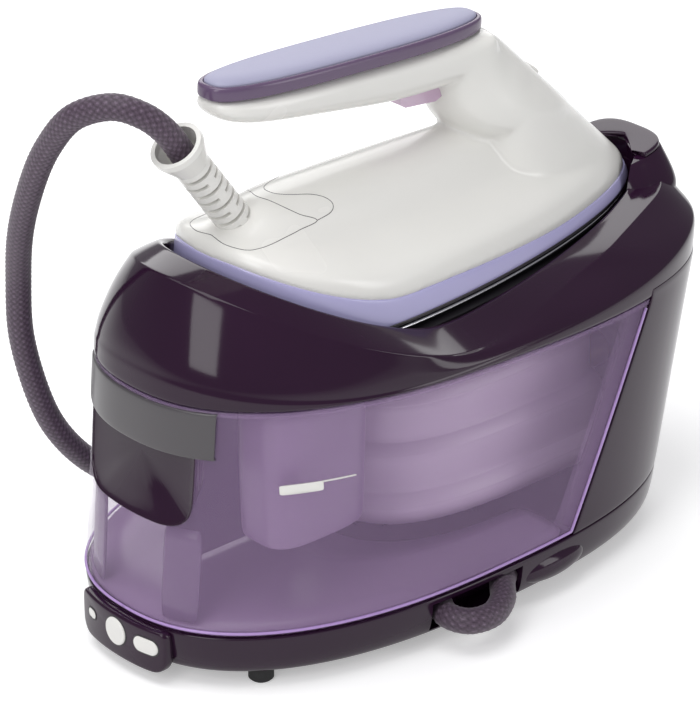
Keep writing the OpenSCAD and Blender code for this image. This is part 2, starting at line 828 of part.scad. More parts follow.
module valve_seal() color(black) difference() {
  along_x(valve_x - 16.6, 0, spigot_z, valve_d, 2.4);
  along_x(valve_x - 20, 0, spigot_z, 5, 10);
}

// Iron
vent_rows = 9;

module soleplate() color(metal) difference() {
  translate([0, 0, iron_z])
    linear_extrude(sole_t)
      polygon(iron(2));
  for (k = [0:vent_rows - 1], s = [-1, 1])
    translate([iron_x + 12 + 17 * k, s * (iron_half_w - 17 - 3.2 * k), iron_z - 1])
      cylinder(d = 3.4, h = far, $fn = 24);
}

module heat_shield() color(black)
  translate([0, 0, sole_z + seat / 2])
    linear_extrude(shield_t - seat)
      polygon(iron(1));

module heater_block() color(metal) translate([0, 0, skirt_z])
  linear_extrude(10)
    polygon(iron(12));

module heating_element() color("#8a8f96")
  translate([0, 0, skirt_z + 10 + 4.2]) {
    for (s = [-1, 1])
      along_x(iron_x - 20, s * 26, 0, 8, 105);
    translate([iron_x + 85, 0, 0])
      rotate([0, 0, -90])
        rotate_extrude(angle = 180)
          translate([26, 0])
            circle(d = 8);
  }

module iron_thermostat() color(brass)
  translate([-10, 0, skirt_z + 10 + seat]) {
    cylinder(d = 20, h = 6);
    cylinder(d = 9, h = 11);
  }

module iron_skirt() color(lilac) loft([
  flat(iron(0), skirt_z), flat(iron(0), skirt_z + 2), along(iron(2), skirt_top),
  along(iron(2 + iron_wall), skirt_top), flat(iron(iron_wall), skirt_z)
], true);

// Rings of the shell from the skirt's edge to its back, drawn in by the wall on the inside
front_z = 256;
front_x = 58;
front_run = 1.047;
front = function(z) front_x + (front_z - z) * front_run;
function dome(t, heel, half, cut) =
  let (z = mix(skirt_z + skirt_h, ridge_z, t), tip = min(iron_tip - 3, front(z) - iron_x))
  along(egg(iron_x, heel - cut, tip - cut, half - cut, mix(2.2, 2.6, t), mix(1.72, 1.9, t)),
    function(x) mix(skirt_top(x) + seat, ridge_z, t) - (t > 0 ? cut : 0));
// Share of the height, and how far the heel and sides are drawn in: a flange that sweeps up into a spine
dome_steps = [[0, 2, 2], [0.1, 2.5, 2.6], [0.22, 3.5, 4], [0.32, 5, 8], [0.42, 7, 15.5], [0.53, 10, 23.5],
  [0.64, 14, 30], [0.75, 19, 34.5], [0.87, 26, 39.5], [0.95, 31, 46], [1, 36, 53]];
dome_n = len(dome_steps) - 1;
function dome_ring(k, cut) =
  dome(dome_steps[k][0], iron_heel - dome_steps[k][1], iron_half_w - dome_steps[k][2], cut);

module dome_shell() {
  loft([for (k = [dome_n - 1:-1:0]) dome_ring(k, iron_wall), for (k = [0:dome_n]) dome_ring(k, 0)]);
}

// Plan of the heel cover: a leaf round the strain relief, with its tips swept forwards
cover_heel = -106;
module cover_side(shrink) {
  linear_extrude(far)
    offset(delta = -shrink)
      polygon([[cover_x, 0], [cover_x + 15, cover_half_w], [cover_x - 3, cover_half_w - 0.5],
        [cover_heel + 9, cover_half_w - 6], [cover_heel + 1.5, 9], [cover_heel + 1.5, -9],
        [cover_heel + 9, 6 - cover_half_w], [cover_x - 3, 0.5 - cover_half_w],
        [cover_x + 15, -cover_half_w]]);
}

// Handle sections: place along X, underside and half width
handle_steps = [[-111.5, 261, 4], [-110, 258, 9], [-105, 254.5, 13], [-94, 251, 15.5], [-77, 248, 17],
  [-40, 242.5, 17], [-8, 237, 17], [20, 233, 17], [38, 231, 16.5], [49, 233, 14], [55, 240, 9]];

module handle_core() {
  loft([for (h = handle_steps)
    let (z1 = grip_top(h[0]) - bezel_z - seat, mid = (h[1] + z1) / 2, w = min(h[2], h[2] / 17 * grip_w))
    [for (i = [0:35])
      let (c = cos(10 * i), s = sin(10 * i))
      [h[0], w * sign(c) * pow(abs(c), 0.8),
        s > 0 ? mix(mid, z1, pow(s, 0.5)) : mix(mid, h[1], pow(-s, 0.9))]]]);
}

// Post rings: height, rear edge and half width; its lower lip hangs over the hollow beside the spine
post_steps = [[202.5, 42, 14], [204.5, 35, 22], [208, 29, 24.5], [214, 22, 24.5], [222, 16, 22.5],
  [231, 13, 19.5], [241, 11, 17.5], [249, 6, 16.5]];

module post() {
  loft([for (p = post_steps)
    let (f = front(p[0]))
    flat(egg((p[1] + f) / 2, (f - p[1]) / 2, (f - p[1]) / 2, p[2], 2.4, 2, 36), p[0])]);
}

pocket_x0 = pivot_x - trigger_len - 4;
lens_x = 88;
lens_d = 11;

module at_lens() {
  translate([lens_x, 0, front_z - (lens_x - front_x) / front_run])
    rotate([0, atan(1 / front_run), 0])
      children();
}

module iron_shell() color(white) difference() {
  union() {
    difference() {
      dome_shell();
      cover_side(0);
    }
    post();
    handle_core();
  }
  translate([pocket_x0, -trigger_w - run, pocket_z0])
    cube([pivot_x + 5 - pocket_x0, 2 * (trigger_w + run), pocket_z1 - pocket_z0]);
  translate([pivot_x, 20, pivot_z])
    rotate([90, 0, 0])
      cylinder(d = pin_d + 2 * pin_clear, h = 40);
  at_lens()
    translate([0, 0, -4])
      cylinder(d = lens_d + 2 * seat, h = 20);
  relief_hole();
}

module relief_hole() {
  at_relief()
    translate([0, 0, -20])
      cylinder(d = relief_d + 2 * seat, h = 60);
}

module heel_cover() color(white) difference() {
  intersection() {
    dome_shell();
    cover_side(0.3);
  }
  relief_hole();
}

// Handle top pieces lie along the sloping top of the grip
module on_grip() {
  translate([grip_x, 0, grip_z])
    rotate([0, atan(grip_fall), 0])
      children();
}
function grip_outline(inset) =
  egg(grip_len * 0.5, grip_len * 0.5 - inset, grip_len * 0.5 - inset, grip_w - inset, 3, 2.6, 48);

module handle_bezel() color("#5f4d68") on_grip() difference() {
  translate([0, 0, -bezel_z])
    linear_extrude(bezel_h)
      polygon(grip_outline(0));
  translate([0, 0, -pad_t - 2])
    linear_extrude(5)
      polygon(grip_outline(bezel_edge));
}

module handle_pad() color("#b4b5cf") on_grip() loft([
  flat(grip_outline(bezel_edge + seat), seat - pad_t - 2), flat(grip_outline(bezel_edge + seat), 0),
  flat(grip_outline(bezel_edge + 1.5), 0.5 * pad_crown),
  flat(grip_outline(bezel_edge + 4.5), 0.85 * pad_crown), flat(grip_outline(bezel_edge + 8.5), pad_crown)
]);

module tip_light_lens() color(white) at_lens()
  translate([0, 0, -4 + seat])
    cylinder(d = lens_d, h = 3.6);

module at_relief() {
  translate([relief_x, 0, relief_z])
    rotate([0, -relief_lean, 0])
      children();
}

slit_rows = 8;

module strain_relief() color(white) at_relief() difference() {
  rotate_extrude()
    polygon([[hose_d / 2 + run, -6], [relief_d / 2 + 1.8, -6], [relief_d / 2 + 1.8, -3], [relief_d / 2, -3],
      [relief_d / 2, relief_len - 14], [mouth_d / 2, relief_len - 3], [mouth_d / 2, relief_len],
      [mouth_d / 2 - 2.2, relief_len], [mouth_d / 2 - 2.4, relief_len - 3],
      [hose_d / 2 + run, relief_len - 14]]);
  for (k = [0:slit_rows - 1], s = [0, 180])
    rotate([0, 0, s + 90 * (k % 2)])
      translate([2.2, -mouth_d, 15 + 5.2 * k])
        cube([mouth_d, 2 * mouth_d, 2]);
}

// Trigger under the front of the grip, hung on a cross pin
module steam_trigger() color("#c8a8c4") difference() {
  translate([0, trigger_w, 0])
    rotate([90, 0, 0])
      linear_extrude(2 * trigger_w) {
        polygon([[pivot_x - trigger_len, pivot_z - 10], [pivot_x - trigger_len + 3, pivot_z - 12],
          [pivot_x - 6, pivot_z - 14], [pivot_x - 1, pivot_z - 12], [pivot_x + 1, pivot_z - 2.5],
          [pivot_x - 3, pivot_z - 1], [pivot_x - trigger_len, pivot_z - 5.5]]);
        translate([pivot_x, pivot_z])
          circle(d = pin_d + 4);
      }
  translate([pivot_x, far / 2, pivot_z])
    rotate([90, 0, 0])
      cylinder(d = pin_d + 2 * pin_clear, h = far);
}

module trigger_pin() color(metal)
  translate([pivot_x, trigger_w + 5, pivot_z])
    rotate([90, 0, 0])
      cylinder(d = pin_d, h = 2 * trigger_w + 10);

module trigger_switch() color(black)
  translate([pivot_x - 22, -5, pocket_z1 - 5.5])
    cube([13, 10, 5.5 - seat]);

module iron_screws() color(metal)
  for (s = [[-70, 0], [40, 18], [40, -18]])
    translate([s.x, s.y, skirt_z + 10 + seat]) {
      cylinder(d = 7, h = 3);
      cylinder(d = 4, h = 5);
    }

base_pan();
base_deck();
rubber_feet();
base_screws();
control_panel();
indicator_lens();
power_button();
eco_button();
core_housing();
boiler();
boiler_thermostat();
steam_valve();
pump();
water_tubes();
control_board();
water_spigot();
spigot_seal();
hose_gland();
stored_hose();
steam_hose();
upper_housing();
iron_platform();
platform_pads();
decalc_socket();
decalc_knob();
mains_cord_bushing();
lock_button();
lock_tongue();
tank_shell();
tank_lid();
grip_band();
grip_scoop();
filler_tube();
filler_door();
tank_valve();
valve_seal();
soleplate();
heat_shield();
heater_block();
heating_element();
iron_thermostat();
iron_skirt();
iron_shell();
heel_cover();
handle_bezel();
handle_pad();
tip_light_lens();
strain_relief();
steam_trigger();
trigger_pin();
trigger_switch();
iron_screws();
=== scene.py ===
import json
import math
import bmesh
import bpy
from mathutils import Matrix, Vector
from mathutils.bvhtree import BVHTree


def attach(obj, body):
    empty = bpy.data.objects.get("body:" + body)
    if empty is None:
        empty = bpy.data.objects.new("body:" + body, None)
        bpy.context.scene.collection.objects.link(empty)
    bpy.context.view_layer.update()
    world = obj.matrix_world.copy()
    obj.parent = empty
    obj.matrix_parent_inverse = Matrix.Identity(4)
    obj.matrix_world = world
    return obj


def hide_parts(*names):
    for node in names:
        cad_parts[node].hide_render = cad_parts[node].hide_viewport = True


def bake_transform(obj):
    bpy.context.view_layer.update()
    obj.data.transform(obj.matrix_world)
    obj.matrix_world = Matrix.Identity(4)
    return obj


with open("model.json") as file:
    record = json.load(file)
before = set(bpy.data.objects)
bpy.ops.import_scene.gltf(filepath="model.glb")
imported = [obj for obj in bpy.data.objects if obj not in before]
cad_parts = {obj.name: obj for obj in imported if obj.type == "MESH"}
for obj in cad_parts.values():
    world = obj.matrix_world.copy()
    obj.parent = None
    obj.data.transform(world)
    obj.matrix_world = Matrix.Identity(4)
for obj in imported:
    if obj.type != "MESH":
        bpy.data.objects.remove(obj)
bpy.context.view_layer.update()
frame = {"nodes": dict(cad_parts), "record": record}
mm = 0.001
print("frame loaded:", len(frame["nodes"]), "nodes")


# Camera: the photograph's place and angle, taken from its perspective
camera = {
    "place": (-1012.5, -1095.2, 849.5),
    "target": (5.5, 35.4, 90.9),
    "lens": 179.85,
    "sensor": 36.0,
    "clipEnd": 20,
}
camData = bpy.data.cameras.new("photoCamera")
camData.lens = camera["lens"]
camData.sensor_width = camera["sensor"]
camData.clip_end = camera["clipEnd"]
camObject = bpy.data.objects.new("photoCamera", camData)
bpy.context.scene.collection.objects.link(camObject)
camObject.location = Vector(camera["place"]) * mm
camAim = Vector(camera["target"]) - Vector(camera["place"])
camObject.rotation_euler = camAim.to_track_quat("-Z", "Y").to_euler()
bpy.context.scene.camera = camObject


# Materials
def hexColour(code):
    parts = [int(code[i:i + 2], 16) / 255 for i in (1, 3, 5)]
    return tuple(p / 12.92 if p <= 0.04045 else ((p + 0.055) / 1.055) ** 2.4 for p in parts) + (1.0,)


def addNode(tree, kind, settings=None, inputs=None):
    node = tree.nodes.new(kind)
    for key, value in (settings or {}).items():
        setattr(node, key, value)
    for key, value in (inputs or {}).items():
        if isinstance(value, bpy.types.NodeSocket):
            tree.links.new(value, node.inputs[key])
        else:
            node.inputs[key].default_value = value
    return node


def startMaterial(name):
    material = bpy.data.materials.new(name)
    material.use_nodes = True
    tree = material.node_tree
    tree.nodes.clear()
    shader = addNode(tree, "ShaderNodeBsdfPrincipled")
    addNode(tree, "ShaderNodeOutputMaterial", None, {"Surface": shader.outputs["BSDF"]})
    place = addNode(tree, "ShaderNodeTexCoord").outputs["Object"]
    return material, tree, shader, place


# Moulded plastic: two close tones drift over the part, and a fine grain catches the light
plastic = {"driftMm": 60, "roughnessSpread": 0.15, "grainHeight": 0.0002,
           "sockets": {"IOR": 1.5, "Coat Weight": 0.0, "Coat Roughness": 0.03}}


def mouldedPlastic(name, tone, deep, roughness, grainMm=0.6, grainDepth=0.02, sockets=None):
    material, tree, shader, place = startMaterial(name)
    drift = addNode(tree, "ShaderNodeTexNoise", None,
                    {"Vector": place, "Scale": 1 / (plastic["driftMm"] * mm), "Detail": 2.0})
    colour = addNode(tree, "ShaderNodeMix", {"data_type": "RGBA"},
                     {"Factor": drift.outputs["Fac"], "A": hexColour(deep), "B": hexColour(tone)})
    tree.links.new(colour.outputs["Result"], shader.inputs["Base Color"])
    grain = addNode(tree, "ShaderNodeTexNoise", None,
                    {"Vector": place, "Scale": 1 / (grainMm * mm), "Detail": 1.0})
    spread = addNode(tree, "ShaderNodeMapRange", None,
                     {"Value": drift.outputs["Fac"], "To Min": roughness * (1 - plastic["roughnessSpread"]),
                      "To Max": roughness * (1 + plastic["roughnessSpread"])})
    tree.links.new(spread.outputs["Result"], shader.inputs["Roughness"])
    bump = addNode(tree, "ShaderNodeBump", None,
                   {"Height": grain.outputs["Fac"], "Strength": grainDepth,
                    "Distance": plastic["grainHeight"]})
    tree.links.new(bump.outputs["Normal"], shader.inputs["Normal"])
    for socket, value in {**plastic["sockets"], **(sockets or {})}.items():
        shader.inputs[socket].default_value = value
    return material


glossCoat = {"Coat Weight": 0.15}
bareMetal = {"Metallic": 1.0}
finishes = {
    "dark_purple_abs": mouldedPlastic("polishedPurpleAbs", "#2c142c", "#240f24", 0.1,
                                      sockets={"Specular IOR Level": 0.32}),
    "black_plastic": mouldedPlastic("texturedBlackNylon", "#232025", "#1a181c", 0.45, 1.0, 0.2),
    "grey_abs": mouldedPlastic("satinGreyAbs", "#4f4b4f", "#454245", 0.3),
    "black_rubber": mouldedPlastic("mouldedBlackRubber", "#1f1e20", "#191819", 0.7, 1.2, 0.3),
    "core_mauve": mouldedPlastic("satinMauveAbs", "#f0def4", "#e6d0ec", 0.3),
    # painted highlight: an opaque lilac for the tank's edge strips, standing in for the light that the clear
    # edges gather
    "edge_lilac": mouldedPlastic("paintedEdgeHighlightLilac", "#b898d2", "#ac8cc8", 0.25),
    "tank_mauve": mouldedPlastic("satinTankMauve", "#937c9d", "#887192", 0.3),
    "white_abs": mouldedPlastic("polishedWhiteAbs", "#eceae6", "#e4e4df", 0.26, sockets=glossCoat),
    "lilac_abs": mouldedPlastic("polishedLilacAbs", "#b9b4dc", "#aeaad6", 0.25, sockets=glossCoat),
    "lilac_soft_grip": mouldedPlastic("lilacSoftTouchRubber", "#a5a4bc", "#9b9ab4", 0.5, 0.8, 0.25),
    "bezel_plum": mouldedPlastic("plumSatinAbs", "#66526f", "#5b4964", 0.22),
    "circuit_green": mouldedPlastic("greenSolderMask", "#2f6b45", "#285c3b", 0.35),
    "tank_clear_purple": mouldedPlastic("clearPurpleSan", "#bd9fcb", "#b091bf", 0.06,
                                        sockets={"Alpha": 0.17}),
    "trigger_pink": mouldedPlastic("clearPinkPolycarbonate", "#d3b2d0", "#c8a8c4", 0.08,
                                   sockets={"Alpha": 0.7}),
    "soleplate_metal": mouldedPlastic("polishedSteel", "#c9c9cd", "#c9c9cd", 0.22, sockets=bareMetal),
    "cast_aluminium": mouldedPlastic("castAluminium", "#b9babd", "#b9babd", 0.5, sockets=bareMetal),
    "steel": mouldedPlastic("plainSteel", "#a8a9ad", "#a8a9ad", 0.35, sockets=bareMetal),
    "brass_fittings": mouldedPlastic("turnedBrass", "#b59a55", "#b59a55", 0.3, sockets=bareMetal),
}


# Braided polyester yarn: the tops of the strands are pale, the gaps are darkened to the gap colour as painted
# shade, and each thread glints a little
# gap is the painted shade colour of the braid's gaps; deep and pale are the yarn's own tones
yarn = {"gap": "#2c1a2b", "deep": "#432f43", "pale": "#867488", "threadMm": 0.9, "threadHeight": 0.0003}


def braidedYarn():
    material, tree, shader, place = startMaterial("braidedPurplePolyester")
    paintedBraidShade = addNode(tree, "ShaderNodeAttribute", {"attribute_name": "paintedBraidShade"}).outputs["Fac"]
    threads = addNode(tree, "ShaderNodeTexNoise", None,
                      {"Vector": place, "Scale": 1 / (yarn["threadMm"] * mm), "Detail": 1.0})
    strand = addNode(tree, "ShaderNodeMix", {"data_type": "RGBA"},
                     {"Factor": threads.outputs["Fac"],
                      "A": hexColour(yarn["deep"]), "B": hexColour(yarn["pale"])})
    # painted shade: the gap colour is mixed in where the braid's shade factor is low, in the gaps and on the
    # crossing strands
    colour = addNode(tree, "ShaderNodeMix", {"data_type": "RGBA"},
                     {"Factor": paintedBraidShade, "A": hexColour(yarn["gap"]), "B": strand.outputs["Result"]})
    tree.links.new(colour.outputs["Result"], shader.inputs["Base Color"])
    bump = addNode(tree, "ShaderNodeBump", None,
                   {"Height": threads.outputs["Fac"], "Strength": 0.3, "Distance": yarn["threadHeight"]})
    tree.links.new(bump.outputs["Normal"], shader.inputs["Normal"])
    shader.inputs["Roughness"].default_value = 0.55
    shader.inputs["Sheen Weight"].default_value = 0.2
    return material


finishes["hose_braid"] = braidedYarn()
slotOf = {part["node"]: part["material_slot"] for part in frame["record"]["subparts"]}
for nodeName, nodeObject in frame["nodes"].items():
    nodeObject.data.materials.clear()
    nodeObject.data.materials.append(finishes[slotOf[nodeName]])
print("finishes:", len(finishes))


# Shapes: closed outlines in plan, rings at a height, and skins through rings
weldGap = 1e-7


def egg(mid, heel, nose, half, heelPower, nosePower):
    return {"mid": mid, "heel": heel, "nose": nose, "half": half, "powers": (heelPower, nosePower)}


def eggPoint(shape, angle):
    c, s = math.cos(angle), math.sin(angle)
    reach, power = (shape["nose"], shape["powers"][1]) if c > 0 else (-shape["heel"], shape["powers"][0])
    return (shape["mid"] + reach * abs(c) ** (2 / power),
            math.copysign(shape["half"] * abs(s) ** (2 / power), s))


def mix(a, b, t):
    return a + (b - a) * t


def between(shapeA, shapeB, t):
    return {"pair": (shapeA, shapeB), "t": t}


def outlinePoint(shape, angle):
    if "pair" in shape:
        a, b = (outlinePoint(s, angle) for s in shape["pair"])
        return mix(a[0], b[0], shape["t"]), mix(a[1], b[1], shape["t"])
    x, y = eggPoint(shape, angle)
    return x, bluntY(x, y, angle, shape["blunt"]) if "blunt" in shape else y


def ring(shape, height, count=64, arc=(0, 2 * math.pi), closed=True):
    steps = count if closed else count - 1
    points = [outlinePoint(shape, mix(arc[0], arc[1], i / steps)) for i in range(count)]
    return [(x, y, height(x) if callable(height) else height) for x, y in points]


def skin(name, rings, finish, body, replaced=(), wrap=True, caps=True, levels=2, tones=None):
    columns = len(rings[0]) + (1 if wrap else 0)
    bm = bmesh.new()
    bmesh.ops.create_grid(bm, x_segments=columns - 1, y_segments=len(rings) - 1, size=1)
    # painted shade of the braid, one value per vertex, for the yarn's material
    shadeLayer = bm.verts.layers.float.new("paintedBraidShade") if tones else None
    bm.verts.ensure_lookup_table()
    for j, points in enumerate(rings):
        for i in range(columns):
            bm.verts[j * columns + i].co = Vector(points[i % len(points)]) * mm
            if tones:
                bm.verts[j * columns + i][shadeLayer] = tones[j][i % len(points)]
    bmesh.ops.remove_doubles(bm, verts=bm.verts, dist=weldGap)
    if caps:
        bmesh.ops.holes_fill(bm, edges=[e for e in bm.edges if e.is_boundary], sides=0)
    bmesh.ops.recalc_face_normals(bm, faces=bm.faces)
    middle = sum((v.co for v in bm.verts), Vector()) / len(bm.verts)
    if sum(f.normal.dot(f.calc_center_median() - middle) * f.calc_area() for f in bm.faces) < 0:
        bmesh.ops.reverse_faces(bm, faces=bm.faces)
    return place(name, bm, finish, body, replaced, levels)


def place(name, bm, finish, body, replaced=(), levels=0):
    mesh = bpy.data.meshes.new(name)
    bm.to_mesh(mesh)
    bm.free()
    mesh.shade_smooth()
    mesh.materials.append(finishes[finish])
    piece = bpy.data.objects.new(name, mesh)
    bpy.context.scene.collection.objects.link(piece)
    if levels:
        rounder = piece.modifiers.new("rounding", "SUBSURF")
        rounder.levels = rounder.render_levels = levels
    if body:
        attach(piece, body)
    if replaced:
        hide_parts(*replaced)
    return piece


# Fixes a piece's modifiers into its mesh, after cutting it with other meshes
def settle(piece, cutters=(), sharpDegrees=40):
    for cutter in cutters:
        cut = piece.modifiers.new("cut", "BOOLEAN")
        cut.operation = "DIFFERENCE"
        cut.object = cutter
    bpy.context.view_layer.update()
    shown = piece.evaluated_get(bpy.context.evaluated_depsgraph_get())
    mesh = bpy.data.meshes.new_from_object(shown)
    piece.modifiers.clear()
    piece.data = mesh
    mesh.shade_smooth()
    mesh.set_sharp_from_angle(angle=math.radians(sharpDegrees))
    for cutter in cutters:
        bpy.data.objects.remove(cutter)
    return piece


def block(low, high):
    bm = bmesh.new()
    bmesh.ops.create_cube(bm, size=1)
    for v in bm.verts:
        v.co = Vector(mix(low[k], high[k], v.co[k] + 0.5) for k in range(3)) * mm
    return place("cutter", bm, "black_plastic", None)


# Sizes in millimetres: station and iron as in the CAD model, the rim and its fold as in the photograph
station = {"mid": -10, "heel": 156.8, "nose": 154, "half": 90.5, "powers": (2.35, 2.75), "deck": 28.5,
           "heelLean": 0.075, "noseLean": 0.265, "sideLean": 0.044, "seamZ": 134.3, "seamSlope": 0.04}
iron = {"mid": -45, "heel": 72, "nose": 200, "half": 57.5, "powers": (2.2, 1.72), "skirt": 156.5,
        "skirtH": 6.5, "skirtRise": 25, "riseFrom": -40, "riseRun": 73, "riseCurve": 1.5,
        "swell": 4.5, "swellEnd": 70, "swellRun": 90, "ridge": 212}
well = {"gap": 3, "noseGap": 2.5, "powers": (2.2, 1.76)}
rim = {"z": 149, "rise": 41, "riseRun": 96, "noseRise": 11.5, "noseRun": 179, "curve": 1.3, "low": -24,
       "width": 2.6, "heelShoulder": 155, "noseShoulder": 134, "noseTop": 147, "sideShoulder": 3.5,
       "shoulderCurve": 3}
fold = {"heel": 17, "nose": 4, "half": 18, "powers": (1.8, 1.68), "drop": 6.5, "fade": 0.95, "fadeRun": 85,
        "dip": 4, "dipFrom": -45, "dipRun": 55}
blunt = {"from": 60, "x": 112, "half": 50, "slope": 0.385, "turn": 0.42, "power": 0.6}


def stationShape(z, inset=0.0, heelZ=None, noseZ=None):
    up = z - station["deck"]
    heelUp = (z if heelZ is None else heelZ) - station["deck"]
    noseUp = (z if noseZ is None else noseZ) - station["deck"]
    return egg(station["mid"], station["heel"] - station["heelLean"] * heelUp - inset,
               station["nose"] + station["noseLean"] * noseUp - inset,
               station["half"] - station["sideLean"] * up - inset, *station["powers"])


def seamZ(x):
    return station["seamZ"] - station["seamSlope"] * x


def seamShape(inset=0.0):
    return stationShape(station["seamZ"], inset, seamZ(station["mid"] - station["heel"]),
                        seamZ(station["mid"] + station["nose"]))


def crownShape(inset=0.0):
    return stationShape(station["seamZ"], inset, rim["heelShoulder"], rim["noseShoulder"])


def wellShape(grow=0.0):
    return egg(iron["mid"], iron["heel"] + well["gap"] + grow, iron["nose"] + well["noseGap"] + grow,
               iron["half"] + well["gap"] + grow, *well["powers"])


def foldShape(t):
    out = well["gap"] + rim["width"]
    powers = [mix(a, b, t) for a, b in zip(well["powers"], fold["powers"])]
    shape = egg(iron["mid"], iron["heel"] + out + fold["heel"] * t, iron["nose"] + out + fold["nose"] * t,
                iron["half"] + out + fold["half"] * t, *powers)
    return {**shape, "blunt": t}


# The crease stays wide beside the hood, so its plan is blunter than an egg there
def bluntY(x, y, angle, amount):
    turn = abs(math.atan2(math.sin(angle), math.cos(angle)))
    wide = blunt["half"] - blunt["slope"] * (x - blunt["x"])
    wide *= min(1, turn / blunt["turn"]) ** blunt["power"]
    return math.copysign(max(abs(y), mix(abs(y), wide, amount)), y) if x > blunt["from"] else y


def ironShape(inset=0.0):
    return egg(iron["mid"], iron["heel"] - inset, iron["nose"] - inset, iron["half"] - inset, *iron["powers"])


def ramp(t):
    return max(0, min(1, t))


def rimZ(x):
    if x < rim["low"]:
        return rim["z"] + rim["rise"] * ((rim["low"] - x) / rim["riseRun"]) ** rim["curve"]
    return rim["z"] + rim["noseRise"] * ((x - rim["low"]) / rim["noseRun"]) ** rim["curve"]


def creaseZ(x):
    drop = fold["drop"] * (1 - fold["fade"] * ramp(x / fold["fadeRun"]))
    return rimZ(x) - drop - fold["dip"] * ramp((fold["dipFrom"] - x) / fold["dipRun"])


def shoulderZ(x):
    heelEnd = x < station["mid"]
    u = abs(x - station["mid"]) / (station["heel"] if heelEnd else station["nose"])
    endZ = rim["heelShoulder" if heelEnd else "noseTop"]
    return mix(station["seamZ"] + rim["sideShoulder"], endZ, min(1, u) ** rim["shoulderCurve"])


def skirtTop(x):
    swell = iron["swell"] * ramp((iron["swellEnd"] - x) / iron["swellRun"])
    rise = iron["skirtRise"] * ramp((iron["riseFrom"] - x) / iron["riseRun"]) ** iron["riseCurve"]
    return iron["skirt"] + iron["skirtH"] + swell + rise


def heightMix(low, high, t):
    return lambda x: mix(low(x), high(x), t)


def raised(heightAt, up):
    return lambda x: heightAt(x) + up


# Top housing: lip above the seam, leaning wall, crease, sloping band, rim and well in one skin
housing = {
    "lip": ((6, 0), (1.1, 0), (0.3, 0.35), (0, 1.4)),
    "wall": (0.45, 0.85),
    "shoulder": (0.6, 0.3),
    "slope": ((0.08, 0.13), (0.5, 0.6), (0.94, 0.955)),
    "band": (0.05, 0.5, 0.92),
    "rim": ((1.4, 0.15), (0.3, -0.3), (0, -1.8)),
    "well": (6, 3),
}


def topHousing():
    seam, crown, crease = seamShape(), crownShape(), foldShape(1)
    rings = [ring(seamShape(inset), raised(seamZ, up)) for inset, up in housing["lip"]]
    rings += [ring(between(seam, crown, t), heightMix(seamZ, shoulderZ, t)) for t in housing["wall"]]
    rings.append(ring(crownShape(housing["shoulder"][0]), raised(shoulderZ, housing["shoulder"][1])))
    rings += [ring(between(crown, crease, a), heightMix(shoulderZ, creaseZ, b)) for a, b in housing["slope"]]
    rings.append(ring(crease, creaseZ))
    rings += [ring(foldShape(1 - t), heightMix(creaseZ, rimZ, t)) for t in housing["band"]]
    rings.append(ring(foldShape(0), rimZ))
    rings += [ring(wellShape(grow), raised(rimZ, up)) for grow, up in housing["rim"]]
    rings += [ring(wellShape(), raised(seamZ, up)) for up in housing["well"]]
    rings.append(rings[0])
    return skin("topHousing", rings, "dark_purple_abs", "station", ["upper_housing"], caps=False)


# The tank's slanted ends: where they lie at a height, and the angle at which an outline passes them
slant = {"x": 36, "z": 28.9, "run": 0.59, "gap": 0.4, "topZ": 130.4, "edge": 0.9, "turnIn": 11}


def slantX(z):
    return slant["x"] + slant["run"] * (z - slant["z"])


def slantAngle(shape, x):
    u = max(0.0, min(1.0, (x - shape["mid"]) / shape["nose"]))
    return math.acos(u ** (shape["powers"][1] / 2))


# One row of a wall that stops at the slanted ends, with its edges rounded and turned inwards
def wallRow(shapeAt, z, inset, count, noseSide):
    edge = slant["edge"]
    sign = 1 if noseSide else -1
    cutX = slantX(z) + (slant["gap"] if noseSide else 0)
    half = []
    for depth, back in ((inset + slant["turnIn"], 0), (inset + edge, 0), (inset + 0.25 * edge, 0.25 * edge)):
        shape = shapeAt(depth)
        half.append(outlinePoint(shape, slantAngle(shape, cutX + sign * back)))
    shape = shapeAt(inset)
    start = slantAngle(shape, cutX + sign * edge)
    far = 0 if noseSide else math.pi
    half += [outlinePoint(shape, mix(start, far, i / count)) for i in range(count)]
    row = [(x, y, z) for x, y in half] + [(outlinePoint(shape, far)[0], 0.0, z)]
    return row + [(x, -y, z) for x, y, z in reversed(row[:-1])]


# Nose block: the wall beyond the tank, from the deck up to the seam
nose = {
    "rows": ((28.65, 9), (28.65, 1.1), (28.9, 0.3), (30.2, 0), (60, 0), (95, 0), (122, -0.06)),
    "topRows": ((-0.5, 0.1), (2.4, 0.12), (4.2, -0.4)),
    "follow": 0.4, "wall": 2.4, "count": 20,
}


def noseBlock():
    rows = [wallRow(lambda d, z=z: stationShape(z, d), z, inset, nose["count"], True)
            for z, inset in nose["rows"]]
    for rise, grow in nose["topRows"]:
        lean = nose["follow"] * max(0, rise) * station["noseLean"]
        row = wallRow(lambda d: seamShape(d - lean), slant["topZ"], -grow, nose["count"], True)
        rows.append([(x, y, seamZ(x) + rise) for x, y, z in row])
    piece = skin("noseBlock", rows, "dark_purple_abs", "station", ["upper_housing"], wrap=False, caps=False)
    wall = piece.modifiers.new("wall", "SOLIDIFY")
    wall.thickness, wall.offset = nose["wall"] * mm, -1


# Hood round the iron's tip: a strip up its outer wall, over the top and into the well, under a sliding cap
hood = {
    "mid": 146, "power": 3, "top": 171.8, "capTop": 174.2, "capWidth": 0.8, "capGap": 0.15,
    "tilt": 0.16, "tiltX": 157, "tiltZ": 150, "tiltRun": 20, "wellGap": 0.2, "turn": 0.01,
    "walls": ((138, 17, 19, 26), (147, 16.8, 23.4, 33), (154, 16.5, 24.6, 34.5), (158, 16.3, 24.4, 33),
              (163, 16, 23.4, 29.4), (168.6, 15, 21.6, 25.2), (170.9, 14.3, 20.8, 23.6),
              (171.6, 13.9, 20.3, 22.8)),
    "inner": (163, 150),
}


